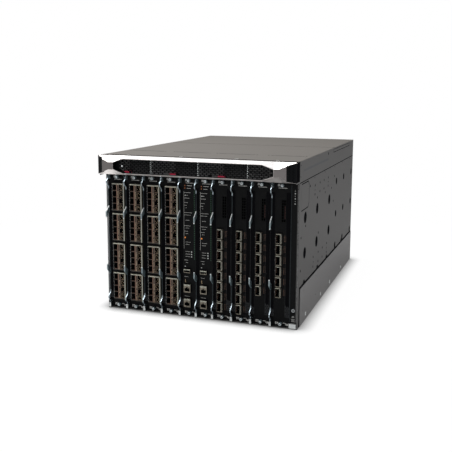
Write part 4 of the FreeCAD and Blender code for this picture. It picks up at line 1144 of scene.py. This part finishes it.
def buildModule(kind, ports, s):
    b = Builder("module", "faceplate")
    front, face, left, notch = s["front"], s["front"] + s["thick"], s["left"], s["notchHalf"]
    holes = [rect(-notch, notch, s["lowPivot"] - s["notch"], s["lowPivot"] + s["notch"]),
             rect(-notch, notch, s["highPivot"] - s["notch"], s["notchTop"])]
    holes += addCages(b, kind, ports, s)
    outline = rect(left, pitches[kind] - s["edgeGap"], s["low"], s["high"])
    b.plate("faceplate", "y", (front, face), outline, holes)
    b.box("faceplate", (left, left + 1.2), (face, 17), (15, 291))
    b.add(punchedLeft, (0, 0, 0))
    if kind == "uplink":
        b.add(punchedRight, (0, 0, 0))
    for z in s["screwZs"]:
        b.add(screwBuilder, (s["screwX"], 0, z))
    addBrackets(b, s)
    addMarks(b, kind)
    addBoard(b, s)
    return b


builders = {}
for name, x in zip(moduleNames, leverXs):
    key = (name.rsplit("_module_", 1)[0], largeSettings["ports"].get(name, 6))
    if key not in builders:
        builders[key] = buildModule(*key, faceSettings)
    piece = Builder(name.replace("_module_", "Module"), "faceplate")
    piece.add(builders[key], (x, 0, 0))
    if name == moduleNames[0]:
        piece.box("arm", (x - 3.1, x - 1.0), (4.6, faceSettings["front"]), (22, 287))
    piece.done(name, "faceplate_black", name)

print("levers")
levers = [("lower", buildLever(leverSettings, 1), faceSettings["lowPivot"]),
          ("upper", buildLever(leverSettings, -1), faceSettings["highPivot"])]
for name, x in zip(moduleNames, leverXs):
    for end, source, z in levers:
        node = name + "_" + end + "_lever"
        piece = Builder(name.replace("_module_", "Module") + end.capitalize() + "Lever", "zinc")
        piece.add(source, (x, 0, z))
        piece.done(node, "zinc", node, smooth=True)


print("rear")
traySettings = {
    "front": 560.0, "rear": 646.0, "low": 1.9, "high": 304.4, "wall": 1.5, "frame": (66.0, 94.0, 38.0),
    "duct": 31.0, "fanScrew": (3, 4, 1.6), "guards": (7.0, 13.0, 19.0, 25.0, 30.6), "wire": 0.55,
    "struts": (2, 4, 1.5, 2.5), "motor": 11.0, "handle": (22.0, 5.0, 90.0), "screwInset": 12,
    "screw": (4.5, 9, 2.6), "lampDrop": 26, "rotor": 29.8, "hub": 12.0, "hubDepth": 22.0, "blades": 5,
    # blades: tilt at the hub and its fall, sweep, chord and its growth, camber, thickness
    "tilt": (38, 12), "sweep": 14, "chord": (17, 5), "camber": 2.2, "bladeThick": 1.3}


def fanPlaces(tray):
    # centres of one tray's fans, from the rotors' own boxes
    return [nodeMiddle("fan_%d_rotor_%d" % (tray, number)) for number in range(1, 7)]


def buildFanHousing(s):
    b = Builder("fanHousing", "fan")
    wide, tall, deep = s["frame"]
    duct = s["duct"]
    rear = s["rear"] - s["wall"]
    front = rear - deep
    b.plate("fan", "y", (front, rear), around(0, 0, wide / 2, tall / 2), [ring(0, 0, duct, 48)])
    halfX, deepX, halfZ, deepZ = s["struts"]
    b.box("fan", span(0, halfX), (front, front + deepX), span(0, duct))
    b.box("fan", span(0, duct), (front, front + deepZ), span(0, halfZ))
    b.rod("fan", "y", (0, 0), s["motor"], (front, front + 4), 32)
    # finger guard of wire rings and crossing wires
    for radius in s["guards"]:
        b.plate("zinc", "y", (rear - 1.6, rear - 0.6), ring(0, 0, radius + s["wire"], 40),
                [ring(0, 0, radius - s["wire"], 40)])
    for turn in (45, 135):
        matrix = Matrix.Rotation(math.radians(turn), 4, "Y") @ Matrix.Diagonal((60.0, 1.0, 1.1, 1))
        made = bmesh.ops.create_cube(b.bm, size=1, matrix=Matrix.Translation((0, rear - 2.2, 0)) @ matrix)
        b.settle(made["verts"], "zinc")
    insetX, insetZ, radius = s["fanScrew"]
    for x in (-1, 1):
        for z in (-1, 1):
            b.rod("steel", "y", (x * (wide / 2 - insetX), z * (tall / 2 - insetZ)), radius,
                  (rear - 1.0, rear - 0.1), 12, 0.15)
    return b


def buildRotor(s):
    b = Builder("rotor", "fan")
    front = s["rear"] - s["wall"] - s["frame"][2] + 4.3
    rear = front + s["hubDepth"]
    b.rod("fan", "y", (0, 0), s["hub"], (front, rear), 40, 1.0)
    # faintly glowing disc on the hub: painted highlight
    b.rod("lens", "y", (0, 0), 7.5, (rear - 0.3, rear), 28)
    for number in range(s["blades"]):
        blade = bmesh.ops.create_grid(b.bm, x_segments=6, y_segments=5, size=0.5)
        for vert in blade["verts"]:
            along, across = vert.co.x + 0.5, vert.co.y
            radius = s["hub"] - 1 + along * (s["rotor"] - 0.5 - s["hub"] + 1)
            tilt = math.radians(s["tilt"][0] - s["tilt"][1] * along)
            sweep = math.radians(s["sweep"]) * along * along
            curve = s["camber"] * (0.25 - across * across)
            chord = (s["chord"][0] + s["chord"][1] * along) * across
            angle = sweep + (chord * math.cos(tilt) + curve) / radius
            depth = front + s["hubDepth"] / 2 + chord * math.sin(tilt) * 0.8 - curve
            turn = angle + 2 * math.pi * number / s["blades"]
            vert.co = Vector((radius * math.cos(turn), depth, radius * math.sin(turn)))
        faces = list({face for vert in blade["verts"] for face in vert.link_faces})
        made = bmesh.ops.solidify(b.bm, geom=faces, thickness=s["bladeThick"])
        for item in [*made["geom"], *faces]:
            if item.is_valid and isinstance(item, bmesh.types.BMFace):
                item.material_index = 0
    bmesh.ops.recalc_face_normals(b.bm, faces=b.bm.faces)
    return b


housing = buildFanHousing(traySettings)
rotor = buildRotor(traySettings)


def makeTray(number, s):
    node = "fan_tray_%d" % number
    b = Builder("fanTray%d" % number, "tray")
    places = fanPlaces(number)
    x0, x1 = [corner.x for corner in nodeBox(node)]
    front, rear, low, high, wall = s["front"], s["rear"], s["low"], s["high"], s["wall"]
    holes = [ring(x, z, s["duct"] + 0.6, 48) for x, z in places]
    b.plate("tray", "y", (rear - wall, rear), rect(x0, x1, low, high), holes)
    for xs, zs in (((x0, x1), (low, low + wall)), ((x0, x1), (high - wall, high)),
                   ((x0, x0 + wall), (low, high)), ((x1 - wall, x1), (low, high))):
        b.box("tray", xs, (front, rear - wall), zs)
    for x, z in places:
        b.add(housing, (x, 0, z))
    middle = (x0 + x1) / 2
    reach, thick, long = s["handle"]
    across = span(middle, thick / 2)
    ends = span((low + high) / 2, long / 2)
    b.box("fan", across, (rear + reach - thick, rear + reach), ends, 1.6, 3)
    for z in (ends[0], ends[1] - thick):
        b.box("fan", across, (rear, rear + reach - 1), (z, z + thick), 0.8, 2)
    radius, proud, slot = s["screw"]
    # screw heads with painted shade in their slots
    for z in (low + s["screwInset"], high - s["screwInset"]):
        b.rod("steel", "y", (middle, z), radius, (rear, rear + proud), 32, 0.6)
        b.tile("cavity", "y", (middle, z), (slot, 0.5), (rear + proud - 0.4, rear + proud + 0.01))
    b.rod("green", "y", (middle, high - s["lampDrop"]), 1.6, (rear, rear + 0.8), 16, 0.2)
    b.done(node, "tray_steel", node)


for tray in (1, 2, 3):
    makeTray(tray, traySettings)
    for number, (x, z) in enumerate(fanPlaces(tray), 1):
        node = "fan_%d_rotor_%d" % (tray, number)
        piece = Builder("fan%dRotor%d" % (tray, number), "fan")
        piece.add(rotor, (x, 0, z))
        piece.done(node, "fan_black", node, smooth=True)

for node, name, kind, slot in (("midplane", "midplaneBoard", "board", "circuit_board"),
                               ("fabric_modules", "fabricModules", "tray", "tray_steel")):
    fromNode(node, name, kind, 0.3).done("case", slot, node)
